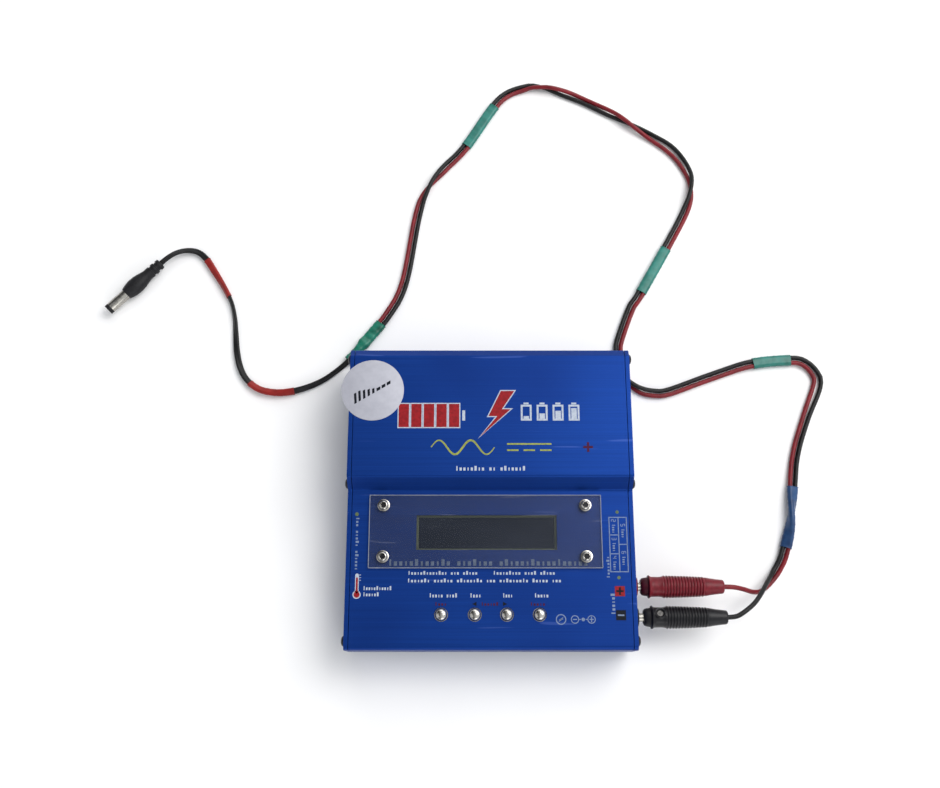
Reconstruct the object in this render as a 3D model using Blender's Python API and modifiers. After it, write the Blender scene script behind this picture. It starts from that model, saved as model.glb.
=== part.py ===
"""Balance battery charger with its output lead.

A blue aluminium case (two folded covers between two end plates) with a raised rear half, a display
under a clear plate and four push buttons. The end plates carry a mains inlet, a DC jack, a sensor
socket, five balance sockets, two output jacks and a fan. A red and black lead runs from two 4 mm
plugs in the output jacks to a barrel plug.

Sizes are in millimetres in the tables below and become metres when an object is made.
+X is the side with the output jacks, +Y the rear, +Z up; the feet stand on z = 0.
"""

import math

import bmesh
import bpy
from mathutils import Matrix, Vector

MM = 0.001
GAP = 0.3  # between pieces that touch
OVERRUN = 2.0  # how far a cutter passes the wall that it cuts

# Case
CASE_X = 0.9  # the case's middle; the label overhangs further than the jacks stand out
CASE_WIDTH = 135.0
CASE_DEPTH = 142.0
CASE_BOTTOM = 4.5
CASE_TOP = 36.0
DECK_Z = 28.4  # the lower front half
STEP_FRONT_Y = 2.9
STEP_REAR_Y = 8.2
SEAM_Z = 16.0
SHEET = 1.6
PLATE = 2.0

PLATE_FACE_X = CASE_WIDTH / 2
PLATE_INNER_X = PLATE_FACE_X - PLATE
COVER_HALF = PLATE_INNER_X - GAP
HALF_DEPTH = CASE_DEPTH / 2

SCREW_CHANNELS = {"front": (-66.7, 24.1), "middle": (6.2, 27.5), "rear": (66.7, 31.7)}
CHANNEL_RADIUS = 3.2
SCREW_HOLE_RADIUS = 1.6
SHANK_RADIUS = 1.3
FOOT_PLACES = {
    "front_left": (-51.5, -55.0),
    "front_right": (51.5, -55.0),
    "rear_left": (-51.5, 55.0),
    "rear_right": (51.5, 55.0),
}

# Label
LABEL_PLACE = (-56.3, 50.0)
LABEL_RADIUS = 15.0
LABEL_THICKNESS = 0.25

# Display
WINDOW_PLACE = (-1.8, -17.2)
WINDOW_SIZE = (66.0, 16.4)
DISPLAY_COVER_PLACE = (-2.4, -16.8)
DISPLAY_COVER_SIZE = (109.2, 34.4, 1.5)
DISPLAY_COVER_TOP = DECK_Z + GAP + DISPLAY_COVER_SIZE[2]
DISPLAY_SCREWS = {
    "rear_left": (-50.2, -4.7),
    "rear_right": (44.6, -4.7),
    "front_left": (-50.2, -28.7),
    "front_right": (44.6, -28.7),
}

# Buttons
BUTTON_PLACES = {"stop": -22.9, "decrease": -7.4, "increase": 7.4, "start": 22.5}
BUTTON_Y = -55.0
BUTTON_HOLE_RADIUS = 3.2

# Circuit boards
BOARD = 1.6
CHARGER_BOARD_TOP = 10.0
SUPPLY_BOARD_TOP = 11.0

# Right end: sockets, jacks, fan. Each balance socket is (pins, y of its middle, z of its middle).
JACKS = {"red": (-41.3, 71.2), "black": (-55.5, 72.0)}  # y, and x of the plug's nose
JACK_Z = 16.0
JACK_BORE_RADIUS = 2.15
JACK_COLLAR_X = 69.5
BALANCE_SOCKETS = {
    "balance_socket_2s": (3, -2.6, 19.4),
    "balance_socket_3s": (4, -14.2, 19.4),
    "balance_socket_4s": (5, -28.3, 19.4),
    "balance_socket_5s": (6, -6.5, 13.0),
    "balance_socket_6s": (7, -25.8, 13.0),
}
PIN_PITCH = 2.5
SOCKET_HEIGHT = 5.75
SOCKET_DEPTH = 8.4
FAN_PLACE = (40.0, 20.2)
FAN_SIZE = 25.0
FAN_DEPTH = 9.0
FAN_REAR_X = PLATE_INNER_X - GAP - FAN_DEPTH

# Left end
MAINS_PLACE = (44.0, 20.0)
MAINS_SIZE = (20.0, 13.0)
MAINS_CAVITY = (14.4, 8.4)
DC_PLACE = (-20.0, 16.0)
SENSOR_PLACE = (-42.0, 16.0)
VENT_SLOTS = 6
VENT_PITCH = 3.6
VENT_FIRST_Y = 12.0

# Lead
WIRE = 2.3
WIRE_RADIUS = WIRE / 2
TWIN = 3.2
TWIN_RADIUS = TWIN / 2
WIRE_SPREAD = 1.35  # half the distance between the two wires' centres
SLEEVE_WALL = 0.3
SLEEVE_ROOM = 0.25
WIRE_LIFT = SLEEVE_WALL + SLEEVE_ROOM  # a wire's rise inside a sleeve
STATION = 7.4  # distance between the points of a wire
PLUG_LENGTH = 39.5

# Middle line of the wire pair, from where the wires meet to the joint with the twin cable.
PAIR_ROUTE = (
    (141.0, -31.9), (144.8, -24.5), (149.4, -7.2), (154.2, 23.2), (161.3, 44.0), (169.2, 62.6), (168.3, 69.4),
    (163.4, 74.4), (156.3, 75.8), (135.4, 73.7), (114.3, 66.9), (93.2, 59.1), (85.5, 58.1), (77.8, 59.6),
    (71.8, 64.2), (68.2, 72.4), (67.4, 81.6), (68.7, 88.1), (75.1, 104.8), (80.2, 112.6), (99.1, 145.8),
    (107.5, 162.3), (110.2, 172.3), (109.4, 182.5), (102.5, 195.3), (89.8, 205.4), (57.3, 225.5), (37.9, 233.4),
    (29.6, 235.6), (21.2, 235.5), (7.1, 227.8), (-11.8, 198.9), (-23.0, 186.2), (-33.0, 172.3), (-37.9, 157.5),
    (-44.3, 119.4), (-52.4, 101.4), (-63.6, 86.4),
)
# Where the pair turns over: millimetres along its middle line, and 1 where the red wire is on top.
HALF_TURNS = ((27.5, 1), (210.0, -1), (331.5, -1), (388.0, 1), (432.5, 1), (526.5, -1))
HALF_TURN_LENGTH = 44.0
# Where the two wires stand apart: place, reach and extra half distance.
OPEN_STRETCHES = ((97.0, 12.0, 0.5), (358.0, 12.0, 0.7))
# From each plug down to the pair's first point: x, y, z.
RED_LEAD_IN = (
    (111.2, -41.3, 16.0), (116.0, -41.5, 15.7), (121.0, -42.3, 13.6), (126.5, -43.2, 9.4),
    (131.5, -42.3, 5.2), (137.0, -38.4, 2.0),
)
BLACK_LEAD_IN = (
    (112.0, -55.5, 16.0), (116.4, -54.9, 16.0), (121.0, -52.2, 15.6), (125.8, -48.4, 13.9),
    (129.8, -44.0, 10.8), (133.6, -39.2, 7.0), (137.0, -35.2, 3.4),
)
# The twin cable: x, y, z.
TWIN_ROUTE = (
    (-63.85, 86.08, 2.2), (-67.9, 80.9, 2.2), (-72.6, 75.2, 2.2), (-78.0, 70.3, 2.0), (-85.9, 64.7, 1.65),
    (-94.5, 60.7, 2.1), (-102.1, 58.7, 2.3), (-109.8, 58.3, 2.3), (-118.0, 60.2, 2.1),
    (-124.5, 65.2, 1.7), (-128.3, 71.7, 1.65), (-130.6, 80.4, 1.65), (-131.7, 89.7, 1.65),
    (-132.8, 99.1, 1.65), (-135.2, 108.0, 1.7), (-139.7, 116.5, 2.2), (-145.4, 125.5, 2.2),
    (-150.1, 132.4, 1.9), (-154.8, 136.2, 1.8), (-160.0, 136.9, 2.4), (-165.0, 135.4, 3.6),
    (-169.3, 132.4, 4.4), (-172.6, 129.2, 4.6),
)
# Sleeves on the pair: first and last millimetre along its middle line.
PAIR_SLEEVES = {
    "blue_sleeve": (12.0, 43.0),
    "green_sleeve_right": (121.0, 140.5),
    "green_sleeve_rear": (263.0, 291.5),
    "green_sleeve_top": (468.5, 497.5),
}
JUNCTION_ON_PAIR = 12.0
JUNCTION_ON_TWIN = 13.5
BARREL_TAIL = (-173.1, 128.7)
BARREL_ANGLE = math.radians(226.0)
BARREL_Z = 4.6

SIDES = 16

COLOURS = {
    "blue_anodised": ((0.015, 0.085, 0.42), 0.42, 0.75),
    "black_steel": ((0.02, 0.02, 0.022), 0.4, 0.8),
    "rubber": ((0.02, 0.02, 0.02), 0.85, 0.0),
    "label_white": ((0.62, 0.62, 0.66), 0.5, 0.0),
    "clear_plastic": ((0.75, 0.8, 0.9), 0.1, 0.0),
    "bright_steel": ((0.62, 0.6, 0.56), 0.25, 1.0),
    "display_frame": ((0.17, 0.2, 0.1), 0.5, 0.2),
    "display_glass": ((0.03, 0.04, 0.055), 0.15, 0.0),
    "green_board": ((0.02, 0.16, 0.06), 0.5, 0.0),
    "black_plastic": ((0.02, 0.02, 0.022), 0.45, 0.0),
    "copper_core": ((0.35, 0.26, 0.1), 0.5, 0.0),
    "white_nylon": ((0.72, 0.7, 0.64), 0.5, 0.0),
    "red_plastic": ((0.42, 0.02, 0.03), 0.45, 0.0),
    "red_silicone": ((0.36, 0.015, 0.02), 0.5, 0.0),
    "black_silicone": ((0.02, 0.02, 0.02), 0.5, 0.0),
    "green_shrink": ((0.1, 0.45, 0.36), 0.45, 0.0),
    "dark_green_shrink": ((0.01, 0.22, 0.13), 0.45, 0.0),
    "blue_shrink": ((0.03, 0.07, 0.2), 0.4, 0.0),
}

# Local Z along world X, for pieces on the end plates.
ALONG_X = Matrix(((0, 0, 1), (1, 0, 0), (0, 1, 0))).to_4x4()
ALONG_MINUS_X = Matrix.Rotation(math.pi, 4, "Z") @ ALONG_X


# ---------------------------------------------------------------- scene and materials


def clear_scene():
    for old in list(bpy.data.objects):
        bpy.data.objects.remove(old, do_unlink=True)


def new_collection(name):
    collection = bpy.data.collections.new(name)
    bpy.context.scene.collection.children.link(collection)
    return collection


def material(name):
    found = bpy.data.materials.get(name)
    if found:
        return found
    colour, roughness, metallic = COLOURS[name]
    made = bpy.data.materials.new(name)
    made.use_nodes = True
    shader = made.node_tree.nodes["Principled BSDF"]
    shader.inputs["Base Color"].default_value = (*colour, 1.0)
    shader.inputs["Roughness"].default_value = roughness
    shader.inputs["Metallic"].default_value = metallic
    return made


clear_scene()
PARTS = new_collection("balance_charger")
CUTTERS = new_collection("cutters")
CASE = bpy.data.objects.new("case_middle", None)
CASE.location.x = CASE_X * MM
PARTS.objects.link(CASE)


# ---------------------------------------------------------------- making objects


def place(name, data, finish, at=(0, 0, 0), turn=None, parent=None):
    """Links a part's object at a place given in millimetres; finish None makes it a cutter."""
    made = bpy.data.objects.new(name, data)
    made.matrix_world = Matrix.Translation(Vector(at) * MM) @ (turn or Matrix.Identity(4))
    if finish is None:
        CUTTERS.objects.link(made)
        made.hide_render = True
        made.display_type = "WIRE"
    else:
        PARTS.objects.link(made)
        data.materials.append(material(finish))
    made.parent = parent or CASE
    return made


def box_mesh(name, size):
    mesh = bpy.data.meshes.new(name)
    shape = bmesh.new()
    bmesh.ops.create_cube(shape, size=1.0)
    bmesh.ops.scale(shape, vec=Vector(size) * MM, verts=shape.verts)
    shape.to_mesh(mesh)
    shape.free()
    return mesh


def rod_mesh(name, radius, length, sides=SIDES):
    """A rod along local Z, centred."""
    mesh = bpy.data.meshes.new(name)
    shape = bmesh.new()
    bmesh.ops.create_cone(
        shape,
        cap_ends=True,
        segments=sides,
        radius1=radius * MM,
        radius2=radius * MM,
        depth=length * MM,
    )
    shape.to_mesh(mesh)
    shape.free()
    return round_shaded(mesh)


def round_shaded(mesh):
    mesh.shade_smooth()
    mesh.set_sharp_from_angle(angle=math.radians(35))
    return mesh


def box(name, size, at, finish, parent=None):
    made = place(name, box_mesh(name, size), finish, at, parent=parent)
    return made


def rod_x(name, radius, x_range, y, z, finish, sides=SIDES):
    low, high = x_range
    mesh = rod_mesh(name, radius, high - low, sides=sides)
    return place(name, mesh, finish, ((low + high) / 2, y, z), ALONG_X)


def rod_z(name, radius, z_range, x, y, finish, sides=SIDES):
    low, high = z_range
    return place(name, rod_mesh(name, radius, high - low, sides=sides), finish, (x, y, (low + high) / 2))


def turned(name, profile, finish, at, turn=None, sides=SIDES, parent=None):
    """A turned piece: (radius, height) pairs down its outer side, both ends on local Z."""
    mesh = bpy.data.meshes.new(name)
    shape = bmesh.new()
    ring = [shape.verts.new((radius * MM, 0, height * MM)) for radius, height in profile]
    for first, second in zip(ring, ring[1:]):
        shape.edges.new((first, second))
    shape.to_mesh(mesh)
    shape.free()
    made = place(name, mesh, finish, at, turn, parent)
    screw = made.modifiers.new("turn", "SCREW")
    screw.steps = sides
    screw.render_steps = sides
    screw.use_merge_vertices = True
    screw.merge_threshold = 0.00001
    screw.use_smooth_shade = True
    return made


def boolean(made, tool, operation):
    step = made.modifiers.new(operation.lower(), "BOOLEAN")
    step.operation = operation
    step.object = tool


def cut(made, *tools):
    for tool in tools:
        boolean(made, tool, "DIFFERENCE")


def join(made, *tools):
    for tool in tools:
        boolean(made, tool, "UNION")


def rounded_path(corners, arc_steps=3):
    """Corner points (u, v, radius) as a line with an arc at each corner that has a radius."""
    points = []
    for index, (u, v, radius) in enumerate(corners):
        here = Vector((u, v))
        if not radius:
            points.append(here)
            continue
        before = (Vector(corners[index - 1][:2]) - here).normalized()
        after = (Vector(corners[(index + 1) % len(corners)][:2]) - here).normalized()
        half = before.angle(after) / 2
        centre = here + (before + after).normalized() * radius / math.sin(half)
        start = here + before * radius / math.tan(half) - centre
        finish = here + after * radius / math.tan(half) - centre
        for step in range(arc_steps + 1):
            points.append(centre + start.slerp(finish, step / arc_steps) * radius)
    return points


def flat_outline(name, outline, thickness, finish, at, turn):
    """A flat piece cut from sheet: a filled 2D curve with its caps welded to its sides."""
    curve = bpy.data.curves.new(name, "CURVE")
    curve.dimensions = "2D"
    curve.fill_mode = "BOTH"
    curve.extrude = thickness * MM / 2
    spline = curve.splines.new("POLY")
    spline.points.add(len(outline) - 1)
    for point, (u, v) in zip(spline.points, outline):
        point.co = (u * MM, v * MM, 0, 1)
    spline.use_cyclic_u = True
    drawn = bpy.data.objects.new(name + "_outline", curve)
    CUTTERS.objects.link(drawn)
    bpy.context.view_layer.update()
    mesh = bpy.data.meshes.new_from_object(drawn.evaluated_get(bpy.context.evaluated_depsgraph_get()))
    bpy.data.objects.remove(drawn, do_unlink=True)
    mesh.name = name
    shape = bmesh.new()
    shape.from_mesh(mesh)
    bmesh.ops.remove_doubles(shape, verts=shape.verts, dist=0.00001)
    shape.to_mesh(mesh)
    shape.free()
    return place(name, mesh, finish, at, turn)


def folded_sheet(name, path, finish):
    """A folded cover: a bent line in Y and Z drawn out along X, then thickened inwards."""
    mesh = bpy.data.meshes.new(name)
    shape = bmesh.new()
    line = [shape.verts.new((-COVER_HALF * MM, y * MM, z * MM)) for y, z in path]
    edges = [shape.edges.new(pair) for pair in zip(line, line[1:])]
    drawn = bmesh.ops.extrude_edge_only(shape, edges=edges)
    moved = [item for item in drawn["geom"] if isinstance(item, bmesh.types.BMVert)]
    bmesh.ops.translate(shape, verts=moved, vec=(2 * COVER_HALF * MM, 0, 0))
    shape.to_mesh(mesh)
    shape.free()
    made = place(name, mesh, finish)
    wall = made.modifiers.new("sheet", "SOLIDIFY")
    wall.thickness = SHEET * MM
    wall.offset = -1.0
    wall.use_even_offset = True
    return made


# ---------------------------------------------------------------- case


def make_covers():
    upper = (
        (-HALF_DEPTH, SEAM_Z, 0),
        (-HALF_DEPTH, DECK_Z, 2.4),
        (STEP_FRONT_Y, DECK_Z, 2.0),
        (STEP_REAR_Y, CASE_TOP, 2.4),
        (HALF_DEPTH, CASE_TOP, 3.4),
        (HALF_DEPTH, SEAM_Z, 0),
    )
    lower = (
        (HALF_DEPTH, SEAM_Z - GAP, 0),
        (HALF_DEPTH, CASE_BOTTOM, 2.0),
        (-HALF_DEPTH, CASE_BOTTOM, 2.0),
        (-HALF_DEPTH, SEAM_Z - GAP, 0),
    )
    top = folded_sheet("top_cover", rounded_path(upper), "blue_anodised")
    folded_sheet("bottom_cover", rounded_path(lower), "blue_anodised")
    for where, (y, z) in SCREW_CHANNELS.items():
        reach = COVER_HALF - 0.5
        join(top, rod_x(f"{where}_channel", CHANNEL_RADIUS, (-reach, reach), y, z, None))
        reach = COVER_HALF + OVERRUN
        cut(top, rod_x(f"{where}_channel_bore", SCREW_HOLE_RADIUS, (-reach, reach), y, z, None))
    deck = (DECK_Z - SHEET - OVERRUN, DECK_Z + OVERRUN)
    for where, x in BUTTON_PLACES.items():
        cut(top, rod_z(f"{where}_button_hole", BUTTON_HOLE_RADIUS, deck, x, BUTTON_Y, None))
    for where, (x, y) in DISPLAY_SCREWS.items():
        cut(top, rod_z(f"{where}_cover_hole", SCREW_HOLE_RADIUS, deck, x, y, None))
    window = (*WINDOW_SIZE, deck[1] - deck[0])
    cut(top, box("window_hole", window, (*WINDOW_PLACE, sum(deck) / 2), None))


def end_outline():
    corners = (
        (-HALF_DEPTH, CASE_BOTTOM, 2.0),
        (-HALF_DEPTH, DECK_Z, 2.4),
        (STEP_FRONT_Y, DECK_Z, 2.0),
        (STEP_REAR_Y, CASE_TOP, 2.4),
        (HALF_DEPTH, CASE_TOP, 3.4),
        (HALF_DEPTH, CASE_BOTTOM, 2.0),
    )
    return rounded_path(corners)


def make_end_plates():
    middle = PLATE_FACE_X - PLATE / 2
    outline = [tuple(point) for point in end_outline()]
    right = flat_outline("right_end_plate", outline, PLATE, "blue_anodised", (middle, 0, 0), ALONG_X)
    left = flat_outline("left_end_plate", outline, PLATE, "blue_anodised", (-middle, 0, 0), ALONG_X)
    through = (PLATE_INNER_X - OVERRUN, PLATE_FACE_X + OVERRUN)
    mirrored = (-through[1], -through[0])
    for where, (y, z) in SCREW_CHANNELS.items():
        cut(right, rod_x(f"{where}_right_hole", SCREW_HOLE_RADIUS, through, y, z, None))
        cut(left, rod_x(f"{where}_left_hole", SCREW_HOLE_RADIUS, mirrored, y, z, None))
    for colour, (y, _) in JACKS.items():
        cut(right, rod_x(f"{colour}_jack_hole", 4.1, through, y, JACK_Z, None))
    for name, (pins, y, z) in BALANCE_SOCKETS.items():
        size = (PLATE + 2 * OVERRUN, socket_width(pins) + 2 * GAP, SOCKET_HEIGHT + 2 * GAP)
        cut(right, box(f"{name}_hole", size, (middle, y, z), None))
    cut_fan_grille(right, middle)
    hole = (PLATE + 2 * OVERRUN, MAINS_SIZE[0] + 2 * GAP, MAINS_SIZE[1] + 2 * GAP)
    cut(left, box("mains_hole", hole, (-middle, *MAINS_PLACE), None))
    cut(left, rod_x("dc_hole", 4.3, mirrored, *DC_PLACE, None))
    hole = (PLATE + 2 * OVERRUN, socket_width(3) + 2 * GAP, SOCKET_HEIGHT + 2 * GAP)
    cut(left, box("sensor_hole", hole, (-middle, *SENSOR_PLACE), None))
    for slot in range(VENT_SLOTS):
        size = (PLATE + 2 * OVERRUN, 1.8, 15.0)
        place_of_slot = (-middle, VENT_FIRST_Y + slot * VENT_PITCH, 19.0)
        cut(left, box(f"vent_{slot + 1}", size, place_of_slot, None))


def cut_fan_grille(plate, middle):
    """Seven upright slots inside the fan's circle."""
    reach = FAN_SIZE / 2 - 1.5
    for slot in range(-3, 4):
        across = slot * 3.3
        height = 2 * math.sqrt(reach**2 - across**2)
        size = (PLATE + 2 * OVERRUN, 1.9, height)
        cut(plate, box(f"fan_slot_{slot + 4}", size, (middle, FAN_PLACE[0] + across, FAN_PLACE[1]), None))


def make_side_screws():
    """Black pan-head screws with a recess, from the end plates into the cover's channels."""
    profile = (
        (0, 0.55), (0.9, 0.55), (0.9, 1.25), (1.6, 1.15), (2.3, 0.75), (2.55, 0.2), (2.55, 0),
        (SHANK_RADIUS, 0), (SHANK_RADIUS, -8.2), (0, -8.8),
    )
    for side, turn, sign in (("right", ALONG_X, 1), ("left", ALONG_MINUS_X, -1)):
        for where, (y, z) in SCREW_CHANNELS.items():
            at = (sign * (PLATE_FACE_X + GAP), y, z)
            turned(f"{side}_{where}_screw", profile, "black_steel", at, turn, sides=12)


def make_feet():
    for where, (x, y) in FOOT_PLACES.items():
        top = CASE_BOTTOM - GAP
        profile = ((0, top), (5.0, top), (4.9, 0.6), (4.3, 0), (0, 0))
        turned(f"foot_{where}", profile, "rubber", (x, y, 0))


def make_label():
    low = CASE_TOP + GAP
    span = (low, low + LABEL_THICKNESS)
    rod_z("round_label", LABEL_RADIUS, span, *LABEL_PLACE, "label_white", sides=64)


# ---------------------------------------------------------------- display and buttons


def make_display():
    thickness = DISPLAY_COVER_SIZE[2]
    middle = DISPLAY_COVER_TOP - thickness / 2
    cover = box("display_cover", DISPLAY_COVER_SIZE, (*DISPLAY_COVER_PLACE, middle), "clear_plastic")
    through = (middle - thickness - OVERRUN, middle + thickness + OVERRUN)
    screw = (
        (0, 0.7), (1.15, 0.7), (1.3, 1.7), (1.9, 1.6), (2.5, 1.1), (2.8, 0.4), (2.8, 0),
        (SHANK_RADIUS, 0), (SHANK_RADIUS, -6.4), (0, -7.0),
    )
    for where, (x, y) in DISPLAY_SCREWS.items():
        cut(cover, rod_z(f"{where}_plate_hole", SCREW_HOLE_RADIUS, through, x, y, None))
        at = (x, y, DISPLAY_COVER_TOP + GAP)
        turned(f"display_screw_{where}", screw, "bright_steel", at, sides=12)
    top = DECK_Z - SHEET - GAP
    depth = 4.0
    at = (*WINDOW_PLACE, top - depth / 2)
    frame = box("lcd_bezel", (72.0, 24.0, depth), at, "display_frame")
    inside = (WINDOW_SIZE[0] - 1.0, WINDOW_SIZE[1] - 0.8)
    cut(frame, box("lcd_opening", (*inside, depth + 2 * OVERRUN), at, None))
    glass = (inside[0] - 2 * GAP, inside[1] - 2 * GAP, depth - 0.8)
    box("lcd_glass", glass, (*WINDOW_PLACE, top - 0.4 - glass[2] / 2), "display_glass")
    board_top = top - depth - GAP
    box("lcd_board", (80.0, 36.0, BOARD), (*WINDOW_PLACE, board_top - BOARD / 2), "green_board")


def make_buttons():
    """Each button is a bright cap on a stem that ends in the well of its switch."""
    flange_top = DECK_Z - SHEET - GAP
    stem_end = 17.2
    profile = (
        (0, 30.6), (1.2, 30.5), (2.1, 30.15), (2.7, 29.5), (2.85, 28.8), (2.85, flange_top),
        (3.9, flange_top), (3.9, flange_top - 1.2), (1.6, flange_top - 1.2), (1.6, stem_end),
        (0, stem_end),
    )
    body_low, body_high = CHARGER_BOARD_TOP + GAP, 18.4
    for name, x in BUTTON_PLACES.items():
        local = [(radius, z - stem_end) for radius, z in profile]
        turned(f"button_{name}", local, "bright_steel", (x, BUTTON_Y, stem_end), sides=16)
        at = (x, BUTTON_Y, (body_low + body_high) / 2)
        switch = box(f"switch_{name}", (6.0, 6.0, body_high - body_low), at, "black_plastic")
        cut(switch, rod_z(f"{name}_well", 2.0, (16.2, body_high + OVERRUN), x, BUTTON_Y, None))


# ---------------------------------------------------------------- inside


def make_boards():
    low = CHARGER_BOARD_TOP - BOARD / 2
    box("charger_board", (118.0, 66.0, BOARD), (-2.0, -32.5, low), "green_board")
    low = SUPPLY_BOARD_TOP - BOARD / 2
    box("supply_board", (104.0, 50.0, BOARD), (-1.0, 35.5, low), "green_board")
    core = (0, 0), (9.6, 0), (9.6, -2.5), (7.4, -2.5), (7.4, -16.0), (9.6, -16.0), (9.6, -18.5), (0, -18.5)
    turned("transformer", core, "copper_core", (8.0, 34.0, SUPPLY_BOARD_TOP + GAP + 18.5))


def make_fan():
    """A square frame with a motor plate on three arms, and a rotor whose origin is on its axle."""
    y, z = FAN_PLACE
    rear, front = FAN_REAR_X, FAN_REAR_X + FAN_DEPTH
    middle = (rear + front) / 2
    frame = box("fan_frame", (FAN_DEPTH, FAN_SIZE, FAN_SIZE), (middle, y, z), "black_plastic")
    cut(frame, rod_x("fan_bore", 11.8, (rear - OVERRUN, front + OVERRUN), y, z, None, sides=32))
    join(frame, rod_x("motor_plate", 5.2, (rear, rear + 1.4), y, z, None))
    for arm in range(3):
        angle = math.radians(30 + 120 * arm)
        reach = 8.4
        at = (rear + 0.7, y + reach * math.cos(angle), z + reach * math.sin(angle))
        mesh = box_mesh(f"arm_{arm + 1}", (1.4, 8.2, 1.4))
        join(frame, place(f"arm_{arm + 1}", mesh, None, at, Matrix.Rotation(angle, 4, "X")))
    hub_rear, hub_front = rear + 1.8, front - 0.8
    length = hub_front - hub_rear
    hub = [(0, length), (4.6, length), (5.2, length - 0.6), (5.2, 0), (0, 0)]
    rotor = turned("fan_rotor", hub, "black_plastic", (hub_rear, y, z), ALONG_X)
    for blade in range(7):
        around = Matrix.Rotation(math.tau * blade / 7, 4, "X")
        outward = Matrix.Translation(Vector((0, 0, 7.9)) * MM)
        pitch = Matrix.Rotation(math.radians(52), 4, "Z")
        mesh = box_mesh(f"blade_{blade + 1}", (0.8, 6.0, 6.4))
        at = (hub_rear + length / 2, y, z)
        join(rotor, place(f"blade_{blade + 1}", mesh, None, at, around @ outward @ pitch))


# ---------------------------------------------------------------- sockets


def socket_width(pins):
    return PIN_PITCH * (pins - 1) + 4.4


def pin_socket(name, pins, side, y, z):
    """A shrouded pin header facing out of an end plate; side is 1 on the right, -1 on the left."""
    width = socket_width(pins)
    centre_x = side * (PLATE_FACE_X - SOCKET_DEPTH / 2)
    size = (SOCKET_DEPTH, width, SOCKET_HEIGHT)
    made = box(name, size, (centre_x, y, z), "white_nylon")
    floor = 1.6
    hollow = (SOCKET_DEPTH - floor + OVERRUN, width - 1.5, SOCKET_HEIGHT - 1.4)
    mouth_x = side * (PLATE_FACE_X - (SOCKET_DEPTH - floor) / 2 + OVERRUN / 2)
    cut(made, box(f"{name}_hollow", hollow, (mouth_x, y, z), None))
    for pin in range(pins):
        across = y + PIN_PITCH * (pin - (pins - 1) / 2)
        length = 5.6
        x = side * (PLATE_FACE_X - SOCKET_DEPTH + floor / 2 + length / 2)
        join(made, box(f"{name}_pin_{pin + 1}", (length, 0.64, 0.64), (x, across, z), None))


def make_sockets():
    for name, (pins, y, z) in BALANCE_SOCKETS.items():
        pin_socket(name, pins, 1, y, z)
    pin_socket("temperature_sensor_socket", 3, -1, *SENSOR_PLACE)


def make_output_jacks():
    """Insulated 4 mm jacks: a collar outside the plate and a blind bore along X."""
    bore_end = 53.0
    length = JACK_COLLAR_X - bore_end + 1.6
    neck = JACK_COLLAR_X - PLATE_FACE_X - GAP
    profile = (
        (0, length - (JACK_COLLAR_X - bore_end)), (JACK_BORE_RADIUS, length - (JACK_COLLAR_X - bore_end)),
        (JACK_BORE_RADIUS, length), (4.4, length), (5.0, length - 0.5), (5.0, length - neck),
        (3.75, length - neck), (3.75, 0), (0, 0),
    )
    for colour, (y, _) in JACKS.items():
        at = (bore_end - 1.6, y, JACK_Z)
        turned(f"output_jack_{colour}", profile, f"{colour}_plastic", at, ALONG_X)


def make_mains_inlet():
    """A two-pin inlet: a block with a round-ended well and two contact pins."""
    y, z = MAINS_PLACE
    depth = 16.0
    size = (depth, *MAINS_SIZE)
    made = box("mains_inlet", size, (-PLATE_FACE_X + depth / 2, y, z), "black_plastic")
    well = 12.0
    width, height = MAINS_CAVITY
    outline = stadium(width, height, 6)
    at = (-PLATE_FACE_X + (well - OVERRUN) / 2, y, z)
    cut(made, flat_outline("mains_well", outline, well + OVERRUN, None, at, ALONG_X))
    for side in (-1, 1):
        reach = (-PLATE_FACE_X + 2.6, -PLATE_FACE_X + well + 1.0)
        join(made, rod_x(f"mains_pin_{side + 2}", 1.2, reach, y + side * 4.3, z, None, sides=12))


def stadium(width, height, steps):
    """A round-ended slot, drawn anticlockwise."""
    radius = height / 2
    shift = width / 2 - radius
    points = []
    for end, start in ((1, -math.pi / 2), (-1, math.pi / 2)):
        for step in range(steps + 1):
            angle = start + math.pi * step / steps
            points.append((end * shift + radius * math.cos(angle), radius * math.sin(angle)))
    return points


def make_dc_jack():
    y, z = DC_PLACE
    inner = -PLATE_INNER_X + GAP
    made = box("dc_input_jack", (12.0, 9.4, 11.0), (inner + 6.0, y, z), "black_plastic")
    join(made, rod_x("dc_nose", 4.0, (-PLATE_FACE_X, inner + 1.0), y, z, None))
    cut(made, rod_x("dc_bore", 3.15, (-PLATE_FACE_X - OVERRUN, inner + 8.0), y, z, None))
    join(made, rod_x("dc_pin", 1.2, (-PLATE_FACE_X + 1.2, inner + 9.0), y, z, None, sides=12))


# ---------------------------------------------------------------- lead


def smooth_line(points, per_span=12):
    """A Catmull-Rom curve through the points, as a fine list of vectors."""
    knots = [Vector(point) for point in points]
    knots = [2 * knots[0] - knots[1], *knots, 2 * knots[-1] - knots[-2]]
    line = []
    for a, b, c, d in zip(knots, knots[1:], knots[2:], knots[3:]):
        for step in range(per_span):
            t = step / per_span
            line.append(
                (2 * b + (c - a) * t + (2 * a - 5 * b + 4 * c - d) * t**2 + (3 * b - a - 3 * c + d) * t**3) / 2
            )
    line.append(knots[-2])
    return line


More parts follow.
